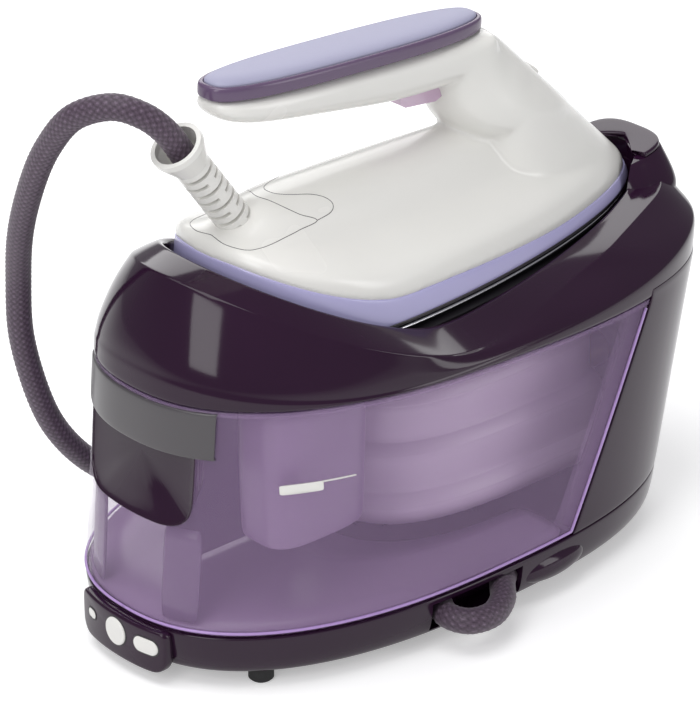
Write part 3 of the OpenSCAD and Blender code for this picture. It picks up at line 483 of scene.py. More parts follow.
def insideEgg(shape, x, y):
    side = "nose" if x > shape["mid"] else "heel"
    power = shape["powers"][side == "nose"]
    return (abs(x - shape["mid"]) / shape[side]) ** power + (abs(y) / shape["half"]) ** power < 1


def hoodArc(shape, wellLine):
    angle = 0.0
    while angle < 3 and not insideEgg(wellLine, *outlinePoint(shape, angle)):
        angle += hood["turn"]
    return angle


def fan(shape, end, spread, count=48):
    return [outlinePoint(shape, mix(-end, end, 0.5 + spread * (i / count - 0.5))) for i in range(count + 1)]


def hoodTilt(x, z):
    return hood["tilt"] * (x - hood["tiltX"]) * ramp((z - hood["tiltZ"]) / hood["tiltRun"])


def hoodRows(spread, outerSteps, topSteps, innerSteps):
    wellLine = wellShape(hood["wellGap"])
    rows = []
    for z, heel, noseReach, half in outerSteps:
        shape = egg(hood["mid"], heel, noseReach, half, hood["power"], hood["power"])
        end = hoodArc(shape, wellLine)
        outer = fan(shape, end, spread)
        rows.append([(x, y, z) for x, y in outer])
    inner = fan(wellLine, slantAngle(wellLine, outlinePoint(shape, end)[0]), spread)
    for t, z in topSteps:
        rows.append([(mix(a[0], b[0], t), mix(a[1], b[1], t), z) for a, b in zip(outer, inner)])
    for z in innerSteps:
        rows.append([(x, y, z) for x, y in inner])
    return [[(x, y, z + hoodTilt(x, z)) for x, y, z in row] for row in rows]


def tipHood():
    top = hood["top"]
    over = ((0.06, top), (0.5, top), (0.9, top), (0.97, top - 0.25))
    rows = hoodRows(1, hood["walls"], over, (top - 0.9, *hood["inner"]))
    skin("tipHood", rows, "dark_purple_abs", "station", ["upper_housing"], wrap=False, caps=False)
    low, high = top + hood["capGap"], hood["capTop"]
    edge = [(0.04, low), (0.02, low + 0.2), (0.02, high - 0.9), (0.05, high - 0.2), (0.1, high), (0.5, high),
            (1.17, high), (1.22, high - 0.2), (1.24, high - 0.7), (1.24, high - 1.2), (1.2, high - 1.5),
            (0.8, low + 0.2), (0.7, low)]
    rows = hoodRows(hood["capWidth"], hood["walls"][-1:], edge, ())[1:]
    skin("lockCap", rows, "dark_purple_abs", "carry_lock", ["lock_button"], wrap=False)


topHousing()
noseBlock()
tipHood()
print("housing done")


# Tank: a clear wall from one slanted end round the panel end to the other, with the grip cut into it
tank = {
    "inset": 0.6, "wall": 2.0, "count": 30, "panelEnd": -100,
    "foot": ((28.9, 30), (28.9, 2.2), (29.2, 1.0), (30.8, 0.6)),
    "heights": (45, 60, 75, 90, 105, 122),
    "top": ((1.9, 0.6), (0.7, 0.9), (0.4, 2.2), (0.4, 14)),
}
grip = {
    "half": 36, "z0": 80, "z1": 138.5, "power": 0.36,
    "throat": ((-0.4, 1.6), (-0.4, 0.35), (0.4, 0.5), (1.1, 1.8), (1.8, 6)),
    "pocket": ((-147, 4, 5, 2), (-139, 7, 10, 3), (-136.5, 12, 16, 8), (-136, 24, 24, 24),
               (-136, 33, 28, 28)),
}
band = {
    "half": 44, "endTurn": {0.996: 0.2, 1: 1.0},
    "rows": ((116, -3.5), (116, -0.4), (116.3, 0.1), (117.2, 0.4), (127, 0.4), (137, 0.4), (138.3, 0.1),
             (138.6, -0.6), (138.6, -3.5)),
}


def heelX(y, z, inset=0.0):
    shape = stationShape(z, inset)
    power = shape["powers"][0]
    return shape["mid"] - shape["heel"] * max(0.0, 1 - (abs(y) / shape["half"]) ** power) ** (1 / power)


def roundedBox(halfY, z0, z1, power=0.5, count=40):
    points = []
    for i in range(count):
        c, s = math.cos(2 * math.pi * i / count), math.sin(2 * math.pi * i / count)
        points.append((math.copysign(halfY * abs(c) ** power, c),
                       (z0 + z1) / 2 + math.copysign((z1 - z0) / 2 * abs(s) ** power, s)))
    return points


def gripBox(shrink, low, top):
    return roundedBox(grip["half"] - shrink, grip["z0"] + low, grip["z1"] - top, grip["power"])


# Cuts a convex outline in Y and Z out of a wall's panel end
def pierce(piece, outline):
    bm = bmesh.new()
    bm.from_mesh(piece.data)
    sides = list(zip(outline, outline[1:] + outline[:1]))
    for (y0, z0), (y1, z1) in sides:
        spot = Vector((0, (y0 + y1) / 2, (z0 + z1) / 2)) * mm
        reach = (0.6 * math.hypot(y1 - y0, z1 - z0) + 6) * mm
        near = [f for f in bm.faces if f.calc_center_median().x < tank["panelEnd"] * mm
                and (f.calc_center_median() - spot).yz.length < reach]
        parts = set(near) | {e for f in near for e in f.edges} | {v for f in near for v in f.verts}
        bmesh.ops.bisect_plane(bm, geom=list(parts), dist=weldGap, plane_co=spot,
                               plane_no=(0, z1 - z0, y0 - y1))
    inside = []
    for f in bm.faces:
        c = f.calc_center_median() / mm
        within = all((y1 - y0) * (c.z - z0) > (z1 - z0) * (c.y - y0) for (y0, z0), (y1, z1) in sides)
        if c.x < tank["panelEnd"] and within:
            inside.append(f)
    bmesh.ops.delete(bm, geom=inside, context="FACES")
    bm.to_mesh(piece.data)
    bm.free()


def tankWall():
    steps = tank["foot"] + tuple((z, tank["inset"]) for z in tank["heights"])
    rows = [wallRow(lambda d, z=z: stationShape(z, d), z, inset, tank["count"], False) for z, inset in steps]
    for drop, inset in tank["top"]:
        row = wallRow(seamShape, slant["topZ"] - drop, inset, tank["count"], False)
        rows.append([(x, y, seamZ(x) - drop) for x, y, z in row])
    piece = skin("tankWall", rows, "tank_clear_purple", "tank", ["tank_shell"], wrap=False, caps=False)
    pierce(settle(piece), gripBox(0, 0, 0))
    wall = piece.modifiers.new("wall", "SOLIDIFY")
    wall.thickness, wall.offset = tank["wall"] * mm, -1
    settle(piece)


def gripPieces():
    rings = []
    for shrink, deep in grip["throat"]:
        rings.append([(heelX(y, z) + deep, y, z) for y, z in gripBox(shrink, shrink, shrink)])
    for x, shrink, low, top in grip["pocket"]:
        rings.append([(x, y, z) for y, z in gripBox(shrink, low, top)])
    skin("gripScoop", rings, "dark_purple_abs", "tank", ["grip_scoop"])
    spread = [-1, -0.996, -0.98] + [i / 8 - 1 for i in range(1, 16)] + [0.98, 0.996, 1]
    rows = []
    for z, out in band["rows"]:
        row = []
        for share in spread:
            y = band["half"] * share
            row.append((heelX(y, z) - out + band["endTurn"].get(abs(share), 0), y, z))
        rows.append(row)
    skin("gripBand", rows, "grey_abs", "tank", ["grip_band"], wrap=False)


# Core behind the tank: walls that step in with sloping ledges, which catch the light through the tank
coreSizes = {
    "mid": 60, "heel": 106, "nose": 56, "half": 52, "powers": (3, 5),
    "steps": ((28.9, 0), (45, 0), (46, 0.3), (52, 5.2), (53, 5.5), (69, 5.5), (70, 5.8), (76, 10.7), (77, 11),
              (93, 11), (94, 11.3), (100, 17), (101, 17.5), (134, 17.5)),
    "ledges": ((45.6, 0.2), (69.6, 5.7), (93.6, 11.2)),
    "ledge": ((-0.6, 0.6), (-0.2, -0.5), (6.6, 4.5), (7, 6)),
}


def coreShape(inset):
    return egg(coreSizes["mid"], coreSizes["heel"] - inset, coreSizes["nose"] - inset,
               coreSizes["half"] - inset, *coreSizes["powers"])


def core():
    rings = [ring(coreShape(inset), z) for z, inset in coreSizes["steps"]]
    skin("coreHousing", rings, "core_mauve", "station", ["core_housing"], levels=1)
    for z, inset in coreSizes["ledges"]:
        rings = [ring(coreShape(inset + step), z + up) for up, step in coreSizes["ledge"]]
        skin("coreLedge", rings, "core_mauve", "station", caps=False, levels=1)


# Tank floor: a mauve sheet between the wall and the core
bottom = {"z": 31.5, "shapeZ": 30, "wallGap": 3, "coreGap": 4, "endX": 34, "sheet": 1.6, "count": 60}


def tankFloor():
    outer, inner = stationShape(bottom["shapeZ"], bottom["wallGap"]), coreShape(-bottom["coreGap"])
    outerEnd = slantAngle(outer, bottom["endX"])
    reach = (inner["mid"] - bottom["endX"]) / inner["heel"]
    innerEnd = math.pi - math.acos(reach ** (inner["powers"][0] / 2))
    rows = []
    for t in (0, 0.5, 1):
        row = []
        for i in range(bottom["count"] + 1):
            a = outlinePoint(outer, mix(outerEnd, 2 * math.pi - outerEnd, i / bottom["count"]))
            b = outlinePoint(inner, mix(innerEnd, 2 * math.pi - innerEnd, i / bottom["count"]))
            row.append((mix(a[0], b[0], t), mix(a[1], b[1], t), bottom["z"]))
        rows.append(row)
    piece = skin("tankFloor", rows, "tank_mauve", "tank", wrap=False, caps=False, levels=1)
    piece.modifiers.new("sheet", "SOLIDIFY").thickness = bottom["sheet"] * mm


# Filler well that hangs in the tank
filler = {"x": -95, "y": -44, "length": 29, "half": 18, "power": 3.4,
          "steps": ((66, 9), (66, 2), (66.6, 0.6), (68.5, 0), (100, -0.5), (136, -1), (136.2, 3))}


def fillerWell():
    rings = []
    for z, inset in filler["steps"]:
        length = filler["length"] - inset
        shape = egg(filler["x"], length, length, filler["half"] - inset, filler["power"], filler["power"])
        rings.append([(x, y + filler["y"], z) for x, y, z in ring(shape, z)])
    skin("fillerWell", rings, "tank_mauve", "tank", ["filler_tube"])


# Baffle that stands lengthwise in the tank, behind the filler well as the photograph sees it
baffle = {"x": -92, "half": 37, "z0": 33, "z1": 128, "power": 0.2,
          "rows": ((6, 8), (0.8, 8), (0.1, 8.6), (0.1, 9.4), (0.8, 10), (6, 10))}


def tankBaffle():
    rows = []
    for inset, y in baffle["rows"]:
        corners = roundedBox(baffle["half"] - inset, baffle["z0"] + inset, baffle["z1"] - inset,
                             baffle["power"])
        rows.append([(x + baffle["x"], y, z) for x, z in corners])
    skin("tankBaffle", rows, "bezel_plum", "tank", levels=1)


# Dark plum strips down the inside of the wall, under the ends of the grip
rib = {"heights": (33, 50, 65, 79), "from": 21, "to": 38, "inset": 3.4, "wall": 1.2, "count": 8}


def tankRibs():
    across = [mix(rib["from"], rib["to"], i / rib["count"]) for i in range(rib["count"] + 1)]
    for mirror in (1, -1):
        rows = [[(heelX(y, z, rib["inset"]), mirror * y, z) for y in across] for z in rib["heights"]]
        piece = skin("tankRib", rows, "bezel_plum", "tank", wrap=False, caps=False, levels=1)
        piece.modifiers.new("wall", "SOLIDIFY").thickness = rib["wall"] * mm


# Painted highlights: opaque lilac strips stand in for the light that the clear wall's edges gather, up the
# slanted ends and along the bottom
glow = {"inset": 0.55, "z": 31, "upFrom": 31.6, "upTo": 127, "backLow": 2.5, "backUp": 2.2, "radius": 0.7,
        "lowCount": 70, "upCount": 29, "sides": 8}


def tankEdges():
    low = stationShape(glow["z"], glow["inset"])
    start = slantAngle(low, slantX(glow["z"]) - glow["backLow"])
    along = [outlinePoint(low, mix(start, math.pi, i / glow["lowCount"]))
             for i in range(glow["lowCount"] + 1)]
    for mirror in (1, -1):
        path = []
        for i in range(glow["upCount"] + 1):
            z = mix(glow["upTo"], glow["upFrom"], i / glow["upCount"])
            shape = stationShape(z, glow["inset"])
            x, y = outlinePoint(shape, slantAngle(shape, slantX(z) - glow["backUp"]))
            path.append(Vector((x, y * mirror, z)))
        path += [Vector((x, y * mirror, glow["z"])) for x, y in along]
        rings = tubeRings(path, glow["sides"], lambda run, angle: glow["radius"])[0]
        # each strip is a painted highlight in an opaque lilac
        skin("tankEdge", rings, "edge_lilac", "tank", levels=0)


# Level mark: a raised tab with a line, without any lettering
mark = {
    "places": {"levelTab": ((-125, -107), (99, 103.6)), "levelLine": ((-108, -92), (102.9, 103.6))},
    "profile": ((-0.3, 0), (0.18, 0), (0.26, 0.15), (0.28, 0.4)),
    "corner": 0.2, "count": 32,
}


def levelMark():
    for name, (ends, heights) in mark["places"].items():
        rows = []
        for out, shrink in mark["profile"]:
            row = []
            for u, v in roundedBox(0.5, -0.5, 0.5, mark["corner"], mark["count"]):
                x = mix(ends[0] + shrink, ends[1] - shrink, u + 0.5)
                z = mix(heights[0] + shrink, heights[1] - shrink, v + 0.5)
                shape = stationShape(z, tank["inset"] - out)
                reach = abs(x - shape["mid"]) / shape["heel"]
                power = shape["powers"][0]
                row.append((x, -shape["half"] * (1 - reach ** power) ** (1 / power), z))
            rows.append(row)
        skin(name, rows, "white_abs", "tank", levels=0)


tankWall()
gripPieces()
tankBaffle()
tankRibs()
levelMark()
tankFloor()
fillerWell()
print("tank done")


core()
print("core done")


# Base: pan and deck as one rounded skin with a slot for the hose on each side, and a guard beside each slot
baseSizes = {
    "steps": ((14, 8), (6.4, 8), (4.6, 8.5), (2.8, 11), (1.4, 16), (0.6, 23), (0.3, 26.6), (0.3, 27.6),
              (0.6, 28.3), (1.4, 28.5), (14, 28.5)),
    "slotX": (-54, 2), "slotY": (74.5, 120), "slotZ": (10.5, 25.6),
}
guard = {"x": 24, "y": 85.5, "z": 17.3, "size": (22, 6.3, 7.6)}


def base():
    rings = [ring(stationShape(station["deck"], inset), z) for inset, z in baseSizes["steps"]]
    piece = skin("baseShell", rings, "dark_purple_abs", "station", ["base_pan", "base_deck"])
    (x0, x1), (y0, y1), (z0, z1) = baseSizes["slotX"], baseSizes["slotY"], baseSizes["slotZ"]
    settle(piece, [block((x0, -y1, z0), (x1, -y0, z1)), block((x0, y0, z0), (x1, y1, z1))])
    for side in (-1, 1):
        bm = bmesh.new()
        bmesh.ops.create_uvsphere(bm, u_segments=40, v_segments=24, radius=1)
        for v in bm.verts:
            x, y, z = (size * c for size, c in zip(guard["size"], v.co))
            v.co = Vector((guard["x"] + x, side * (guard["y"] + y), guard["z"] + z)) * mm
        place("hoseGuard", bm, "dark_purple_abs", "station")


# Control panel on the curve of the base, with buttons and lens that follow its face, each in a dark gap
panel = {
    "half": 30, "z0": 6, "z1": 28.3, "proud": 3.9, "back": -157.2, "round": 8, "buttonZ": 19.5,
    "edge": ((0, 1.8), (0.15, 0.7), (0.7, 0.12), (1.6, 0)), "faceScales": (0.8, 0.5, 0.2),
    "cornerAngles": (0.3, 0.6, 0.9, 1.2, 1.57), "lowSteps": (0.33, 0.66, 1), "topCount": 12,
}
buttons = {
    "powerKnob": {"y": 0, "size": (14, 14), "proud": 0.9, "body": "power", "node": "power_button"},
    "ecoKnob": {"y": -19.5, "size": (14, 8), "proud": 0.8, "body": "eco", "node": "eco_button"},
    "lampLens": {"y": 19.5, "size": (7, 5), "proud": 0.3, "body": "station", "node": "indicator_lens"},
}
buttonProfile = ((0, 2.6), (0, 0.9), (0.12, 0.35), (0.5, 0.06), (1.2, -0.02), (2.2, -0.06))
buttonMiddle = {"inset": 0.3, "deep": -0.1}
gapProfile = ((0.7, -1.0), (0.7, 0.02), (0.5, 0.12), (-0.6, 0.12), (-1.0, -1.0))


def panelX(y):
    power = station["powers"][0]
    reach = (abs(y) / (station["half"] + panel["proud"])) ** power
    return station["mid"] - (station["heel"] + panel["proud"]) * (1 - reach) ** (1 / power)


def panelOutline(inset, scale=1.0):
    half, r = panel["half"] - inset, panel["round"] - inset
    low, high = panel["z0"] + inset, panel["z1"] - inset
    spots = [(-half, high), (-half, mix(low + r, high, 0.5)), (-half, low + r)]
    for a in panel["cornerAngles"]:
        spots.append((-half + r * (1 - math.cos(a)), low + r * (1 - math.sin(a))))
    spots += [(mix(-half + r, 0, t), low) for t in panel["lowSteps"]]
    spots += [(-y, z) for y, z in reversed(spots[:-1])]
    spots += [(mix(half, -half, t / panel["topCount"]), high) for t in range(1, panel["topCount"])]
    middle = (panel["z0"] + panel["z1"]) / 2
    return [(y * scale, middle + (z - middle) * scale) for y, z in spots]


def panelRing(inset, deep, scale=1.0):
    return [(panelX(y) + deep, y, z) for y, z in panelOutline(inset, scale)]


# Outline of a button in Y and Z: a circle, drawn out sideways where it is wider than it is high
def pill(width, height, y0, count=32):
    points = []
    for i in range(count):
        a = 2 * math.pi * i / count
        shift = math.copysign((width - height) / 2, math.cos(a)) if abs(math.cos(a)) > 1e-6 else 0
        points.append((y0 + shift + height / 2 * math.cos(a), panel["buttonZ"] + height / 2 * math.sin(a)))
    return points


def buttonRing(spec, grow, deep):
    width, height = (size + 2 * grow for size in spec["size"])
    return [(panelX(y) + deep, y, z) for y, z in pill(width, height, spec["y"])]


def controls():
    rings = [[(panel["back"], y, z) for y, z in panelOutline(0)]]
    rings += [panelRing(*step) for step in panel["edge"]]
    rings += [panelRing(*panel["edge"][-1], scale) for scale in panel["faceScales"]]
    skin("panelFace", rings, "dark_purple_abs", "station", ["control_panel"])
    for name, spec in buttons.items():
        middle = (spec["size"][1] / 2 - buttonMiddle["inset"], buttonMiddle["deep"])
        rings = [buttonRing(spec, -inset, deep - spec["proud"]) for inset, deep in (*buttonProfile, middle)]
        skin(name, rings, "white_abs", spec["body"], [spec["node"]])
        gap = [buttonRing(spec, grow, -out) for grow, out in gapProfile]
        skin(name + "Gap", gap, "black_plastic", "station")


base()
controls()
print("base done")


# Iron: a flange that sweeps up into a spine, the post, the prow and the handle, joined into one moulding
front = {"z": 256, "x": 58, "run": 1.047}
dome = {
    "steps": ((0, 2, 2), (0.1, 2.5, 2.6), (0.22, 3.5, 4), (0.32, 5, 9), (0.42, 7, 19), (0.5, 10, 26.5),
              (0.6, 13, 31), (0.72, 18, 34.5), (0.84, 24, 38), (0.93, 30, 44), (1, 36, 53)),
    "sunk": 2.6, "sunkInsets": (30, 2.1), "lift": 0.3, "tipGap": 3, "topPowers": (2.6, 1.9),
}
prow = {
    "steps": ((164, 32), (174, 30), (183, 27.5), (192, 26.3), (202, 25.4), (212, 24.2), (222, 22),
              (232, 19.2), (244, 16.8)),
    "rear": 46, "middle": 0.34, "powers": (2, 1.8), "tipGap": 3.5,
}
post = {
    "steps": ((203.5, 50, 14), (205.5, 44, 21), (208.5, 39, 23.5), (214, 33, 24), (222, 27, 22.3),
              (231, 24, 19.5), (241, 21, 17.5), (249, 12, 16.8), (255, 14, 16.3)),
    "powers": (2.4, 2),
}
handle = {
    "x": -112, "z": 273, "fall": 0.045, "length": 165, "half": 17, "powers": (3, 2.6), "bezel": 6.5,
    "padEdge": 0.8, "rim": 2.6, "seat": 0.15,
    "steps": ((-111.5, 261, 4), (-110, 258, 9), (-105, 254.5, 13), (-94, 251, 15.5), (-77, 248, 17),
              (-40, 242.5, 17), (-8, 237, 17), (20, 236.8, 17), (38, 236, 16.8), (49, 238, 16.5),
              (56, 246, 15.5)),
    "count": 40, "topCurve": 0.5, "underCurve": 0.9, "sideCurve": 0.8,
}
union = {"voxel": 1.1, "smoothing": 22, "factor": 0.5}


def frontX(z):
    return front["x"] + (front["z"] - z) * front["run"]


def gripZ(x):
    return handle["z"] - handle["fall"] * (x - handle["x"])


def domeRing(t, heelIn, halfIn):
    z = mix(iron["skirt"] + iron["skirtH"], iron["ridge"], t)
    tip = min(iron["nose"] - dome["tipGap"], frontX(z) - iron["mid"])
    powers = [mix(a, b, t) for a, b in zip(iron["powers"], dome["topPowers"])]
    shape = egg(iron["mid"], iron["heel"] - heelIn, tip, iron["half"] - halfIn, *powers)
    return ring(shape, lambda x: mix(skirtTop(x) + dome["lift"], iron["ridge"], t))


def postRing(z, rear, half):
    reach = (frontX(z) - rear) / 2
    return ring(egg((rear + frontX(z)) / 2, reach, reach, half, *post["powers"]), z)


def prowRing(z, half):
    tip = min(iron["mid"] + iron["nose"] - prow["tipGap"], frontX(z))
    long, share = tip - prow["rear"], prow["middle"]
    middle = mix(prow["rear"], tip, share)
    return ring(egg(middle, share * long, (1 - share) * long, half, *prow["powers"]), z)


def handleRing(x, under, half):
    top = gripZ(x) - handle["bezel"] - handle["padEdge"] - handle["seat"]
    middle = (top + under) / 2
    points = []
    for i in range(handle["count"]):
        a = 2 * math.pi * i / handle["count"]
        c, s = math.cos(a), math.sin(a)
        if s > 0:
            z = mix(middle, top, s ** handle["topCurve"])
        else:
            z = mix(middle, under, (-s) ** handle["underCurve"])
        points.append((x, math.copysign(half * abs(c) ** handle["sideCurve"], c), z))
    return points


def joined(name, parts, finish, body, replaced):
    bm = bmesh.new()
    for part in parts:
        settle(part)
        bm.from_mesh(part.data)
        bpy.data.objects.remove(part)
    piece = place(name, bm, finish, body, replaced)
    remesh = piece.modifiers.new("union", "REMESH")
    remesh.mode = "VOXEL"
    remesh.voxel_size = union["voxel"] * mm
    relax = piece.modifiers.new("relax", "SMOOTH")
    relax.factor, relax.iterations = union["factor"], union["smoothing"]
    return settle(piece, sharpDegrees=180)


def ironShell():
    rings = [ring(ironShape(inset), raised(skirtTop, -dome["sunk"])) for inset in dome["sunkInsets"]]
    rings += [domeRing(*step) for step in dome["steps"]]
    parts = [skin("dome", rings, "white_abs", None)]
    for name, sizes, makeRing in (("post", post, postRing), ("prow", prow, prowRing),
                                  ("grip", handle, handleRing)):
        rings = [makeRing(*step) for step in sizes["steps"]]
        parts.append(skin(name, rings, "white_abs", None, levels=1))
    return joined("ironShell", parts, "white_abs", "iron", ["iron_shell", "heel_cover"])


# Bezel and pad on the handle: steps of inset and height along its leaning top
def gripShape(inset):
    half = handle["length"] / 2
    return egg(half, half - inset, half - inset, handle["half"] - inset, *handle["powers"])


def gripRing(inset, height):
    lean = math.atan(handle["fall"])
    c, s = math.cos(lean), math.sin(lean)
    points = ring(gripShape(inset), height)
    return [(handle["x"] + x * c + h * s, y, handle["z"] - x * s + h * c) for x, y, h in points]


def handleTop():
    low, inner = -handle["bezel"] - handle["padEdge"], handle["rim"]
    bezel = [(8, low), (1.0, low), (0.25, low + 0.3), (0, low + 1.2), (0, -2.6), (0.3, -1.5), (1.0, -0.9),
             (inner - 0.5, -0.7), (inner, -1.0), (inner + 0.1, -3), (8, -3)]
    skin("handleBezel", [gripRing(*step) for step in bezel], "bezel_plum", "iron", ["handle_bezel"])
    pad = [(8, -2.8), (2.9, -2.8), (2.75, -0.9), (2.9, -0.2), (3.6, 0.5), (5.5, 1.3), (8.5, 1.9), (12, 2.15),
           (15.5, 2.2)]
    skin("handlePad", [gripRing(*step) for step in pad], "lilac_soft_grip", "iron", ["handle_pad"])


# Foot of the iron: steps of inset and height, above the skirt's lower edge, below its top, or above the floor
foot = {
    "skirtLow": ((8, 0), (0.6, 0), (0.1, 0.4), (0, 1.6)),
    "skirtWaist": {"inset": 1.0, "low": 1.6, "share": 0.55},
    "skirtTop": ((1.75, -0.9), (2.2, -0.1), (3.4, 0), (8, 0)),
    "shield": ((9, 154), (1.9, 154), (1.4, 154.4), (1.2, 155.8), (1.6, 156.4), (9, 156.4)),
    "sole": ((12, 151.5), (2.2, 151.5), (1.2, 151.9), (0.7, 152.7), (1.1, 153.5), (2.0, 153.85),
             (12, 153.85)),
}


def ironFoot():
    waist = foot["skirtWaist"]
    rings = [ring(ironShape(inset), iron["skirt"] + up) for inset, up in foot["skirtLow"]]
    rings.append(ring(ironShape(waist["inset"]),
                      lambda x: mix(iron["skirt"] + waist["low"], skirtTop(x), waist["share"])))
    rings += [ring(ironShape(inset), raised(skirtTop, up)) for inset, up in foot["skirtTop"]]
    skin("ironSkirt", rings, "lilac_abs", "iron", ["iron_skirt"])
    rings = [ring(ironShape(inset), z) for inset, z in foot["shield"]]
    skin("heatShield", rings, "grey_abs", "iron", ["heat_shield"])
    rings = [ring(ironShape(inset), z) for inset, z in foot["sole"]]
    skin("soleplate", rings, "soleplate_metal", "iron", ["soleplate"])


# Round lens on the front slope
lens = {"x": 88, "count": 32,
        "steps": ((5.5, -2), (5.5, 0.1), (5.2, 0.5), (4.4, 0.65), (2.5, 0.75), (0.4, 0.78))}


def tipLens():
    lean = math.atan(1 / front["run"])
    c, s = math.cos(lean), math.sin(lean)
    z0 = front["z"] - (lens["x"] - front["x"]) / front["run"]
    angles = [2 * math.pi * i / lens["count"] for i in range(lens["count"])]
    rings = []
    for r, h in lens["steps"]:
        spots = [(r * math.cos(a), r * math.sin(a)) for a in angles]
        rings.append([(lens["x"] + u * c + h * s, v, z0 - u * s + h * c) for u, v in spots])
    skin("tipLens", rings, "white_abs", "iron", ["tip_light_lens"])


shell = ironShell()
handleTop()
ironFoot()
tipLens()
print("iron done")


# A Catmull-Rom curve through the points of a route, and rings round a curve
def smoothRoute(route, stepMm):
    points = [Vector(p) for p in route]
    fine = []
    for i in range(len(points) - 1):
        a, b, c, d = points[max(0, i - 1)], points[i], points[i + 1], points[min(len(points) - 1, i + 2)]
        bend = a - 2.5 * b + 2 * c - d / 2
        twist = 1.5 * (b - c) + (d - a) / 2
        count = max(2, round((c - b).length / stepMm))
        for k in range(count):
            t = k / count
            fine.append(b + t * (c - a) / 2 + t * t * bend + t ** 3 * twist)
    return fine + [points[-1]]


def tubeRings(points, sides, radiusAt):
    rings, tones, along, side = [], [], 0.0, Vector((0.3, 0.9, 0.2))
    for i, p in enumerate(points):
        heading = (points[min(len(points) - 1, i + 1)] - points[max(0, i - 1)]).normalized()
        side = (side - side.dot(heading) * heading).normalized()
        other = heading.cross(side)
        along += (p - points[i - 1]).length if i else 0
        rings.append([])
        for k in range(sides):
            a = 2 * math.pi * k / sides
            rings[-1].append(tuple(p + radiusAt(along, a) * (math.cos(a) * side + math.sin(a) * other)))
        # painted light and shade of the braid at each ring point
        tones.append([braidLightAndShade(along, 2 * math.pi * k / sides) for k in range(sides)])
    return rings, tones, along


# Braided hose: strands of both directions pass over and under each other round a tube
# crossShade: the share of tone left on the crossing strands, which are painted darker
braid = {"strands": 12, "pitch": 39.0, "core": 5.7, "rise": 0.52, "roundness": 0.7, "lift": 0.6, "sway": 0.4,
         "crossShade": 0.62}


def braidHeights(along, angle):
    turn = angle / (2 * math.pi) * braid["strands"]
    run = along / braid["pitch"] * braid["strands"]
    a, b = run + turn, run - turn
    i, j = math.floor(a), math.floor(b)
    over = math.cos(math.pi * (b - 0.5) + math.pi * i)
    under = math.cos(math.pi * (a - 0.5) + math.pi * j)
    heightA = abs(math.sin(math.pi * a)) ** braid["roundness"] * (braid["lift"] + braid["sway"] * over)
    heightB = abs(math.sin(math.pi * b)) ** braid["roundness"] * (braid["lift"] - braid["sway"] * under)
    return heightA, heightB


def braidRadius(along, angle):
    return braid["core"] + braid["rise"] * max(braidHeights(along, angle))


# Painted light and shade on the braid: strands of one direction are painted lighter than those that cross
# them, and the gaps are painted dark as shade
def braidLightAndShade(along, angle):
    heightA, heightB = braidHeights(along, angle)
    return heightA ** 2 if heightA > heightB else braid["crossShade"] * heightB ** 2


def hose(name, route, stepMm, sides, node):
    path = smoothRoute(route, stepMm)
    rings, tones, length = tubeRings(path, sides, braidRadius)
    piece = skin(name, rings, "hose_braid", None, [node], levels=0, tones=tones)
    return piece


freeRoute = (
    (-123.9, 0, 242.2), (-132, 2, 255), (-141, 7, 264), (-150.5, 17, 267.5), (-158.5, 33, 260),
    (-159.5, 50, 242), (-157.5, 66, 219), (-151, 86, 186), (-142, 102, 153), (-138, 107, 119),
    (-127, 109, 81), (-114, 109, 56), (-94, 109, 34), (-72, 106, 21), (-50, 99, 17.5), (-28, 90.5, 18),
    (-8, 83, 18), (4, 79.3, 18), (14, 77.3, 18), (24, 76.2, 18))
storedRoute = (
    (25, 76, 18), (60, 72, 18), (98, 55, 18), (122, 33, 18), (131, 8, 18), (128, -20, 18), (110, -44, 18),
    (84, -60, 18), (50, -70, 18), (14, -76, 18), (-1, -81, 18.4), (-10, -88.5, 19), (-18, -97, 18.5),
    (-30, -102.5, 17.5), (-42, -100, 17.5), (-46, -89.5, 17.5), (-41, -78.3, 17.7), (-33, -70, 18),
    (-20, -64.5, 18), (10, -62, 18), (48, -55, 18), (78, -46.5, 18), (100, -31, 18), (112, -12, 18),
    (113, 10, 18), (103, 32, 18), (82, 46, 18), (56, 55, 18), (34, 60, 18), (22, 61, 18), (14.3, 61, 18))
freeHose = hose("freeHose", freeRoute, stepMm=0.7, sides=60, node="steam_hose")
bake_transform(freeHose)
storedHose = hose("storedHose", storedRoute, stepMm=0.9, sides=48, node="stored_hose")
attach(storedHose, "station")
print("hose done")
tankEdges()


# Parting lines of the heel cover and of the panel before it, laid on the shell
partingLines = {
    "coverLine": ((-109.5, 0), (-110, -10), (-106, -19), (-99, -22), (-85, -22.3), (-77, -22.3), (-66, -22),
                  (-73, -18), (-78, -12), (-82, -3), (-82.5, 0)),
    "panelLine": ((-76, 0), (-75.5, -3), (-73, -6), (-68, -9), (-61, -12), (-56, -15.5), (-54, -19),
                  (-57, -21.3), (-66, -22)),
}
groove = {"from": 225, "step": 1.2, "radius": 0.17, "sides": 6}
shellFaces = [p.vertices for p in shell.data.polygons]
shellTree = BVHTree.FromPolygons([v.co for v in shell.data.vertices], shellFaces)
for lineName, lineRoute in partingLines.items():
    for mirror in (1, -1):
        laid = []
        for spot in smoothRoute([(x, y * mirror, groove["from"]) for x, y in lineRoute], groove["step"]):
            hit = shellTree.ray_cast(spot * mm, Vector((0, 0, -1)))[0]
            if hit:
                laid.append(hit / mm)
        rings = tubeRings(laid, groove["sides"], lambda along, a: groove["radius"])[0]
        skin(lineName, rings, "grey_abs", "iron", levels=0)
print("parting lines done")


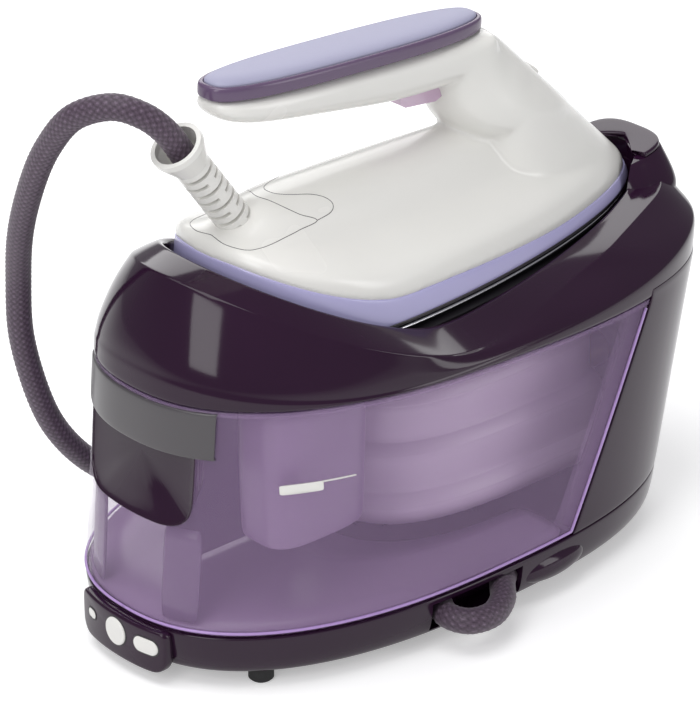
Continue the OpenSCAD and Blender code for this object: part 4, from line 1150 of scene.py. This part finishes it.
# Floor and studio light
floorMesh = bpy.data.meshes.new("floor")
floorBm = bmesh.new()
bmesh.ops.create_grid(floorBm, x_segments=1, y_segments=1, size=6)
floorBm.to_mesh(floorMesh)
floorBm.free()
floor = bpy.data.objects.new("floor", floorMesh)
bpy.context.scene.collection.objects.link(floor)
floorMaterial, floorTree, floorShader = startMaterial("paleStudioFloor")[:3]
floorShader.inputs["Base Color"].default_value = hexColour("#f4f4f4")
floorShader.inputs["Roughness"].default_value = 0.9
floorSeen = addNode(floorTree, "ShaderNodeLightPath")
floorMirrored = addNode(floorTree, "ShaderNodeMath", {"operation": "ADD", "use_clamp": True},
                        {0: floorSeen.outputs["Is Glossy Ray"], 1: floorSeen.outputs["Is Transmission Ray"]})
floorShown = addNode(floorTree, "ShaderNodeMath", {"operation": "ADD", "use_clamp": True},
                     {0: floorSeen.outputs["Is Camera Ray"], 1: floorMirrored.outputs["Value"]})
floorGlow = addNode(floorTree, "ShaderNodeMath", {"operation": "MULTIPLY"},
                    {0: floorShown.outputs["Value"], 1: 0.35})
floorTree.links.new(floorGlow.outputs["Value"], floorShader.inputs["Emission Strength"])
floorShader.inputs["Emission Color"].default_value = (1, 1, 1, 1)
floorMesh.materials.append(floorMaterial)

world = bpy.data.worlds.new("studio")
bpy.context.scene.world = world
world.use_nodes = True
world.node_tree.nodes["Background"].inputs["Color"].default_value = (0.75, 0.75, 0.78, 1)
world.node_tree.nodes["Background"].inputs["Strength"].default_value = 0.42


softboxes = {
    "topBox": {"place": (-0.35, 0.1, 1.5), "target": (0, 0, 0.1), "size": (1.3, 1.0), "power": 13},
    "leftBox": {"place": (-1.5, -0.5, 1.0), "target": (0, 0, 0.15), "size": (0.7, 1.1), "power": 10},
    "rightBox": {"place": (0.9, -1.5, 0.7), "target": (0, 0, 0.15), "size": (0.5, 1.1), "power": 6},
    "backBox": {"place": (1.3, 1.5, 1.15), "target": (0, 0, 0.15), "size": (2.4, 1.0), "power": 18},
}
for boxName, box in softboxes.items():
    light = bpy.data.lights.new(boxName, "AREA")
    light.shape = "RECTANGLE"
    light.size, light.size_y = box["size"]
    light.energy = box["power"]
    lamp = bpy.data.objects.new(boxName, light)
    bpy.context.scene.collection.objects.link(lamp)
    lamp.location = box["place"]
    boxAim = Vector(box["target"]) - Vector(box["place"])
    lamp.rotation_euler = boxAim.to_track_quat("-Z", "Y").to_euler()
bpy.context.scene.view_settings.view_transform = "Standard"
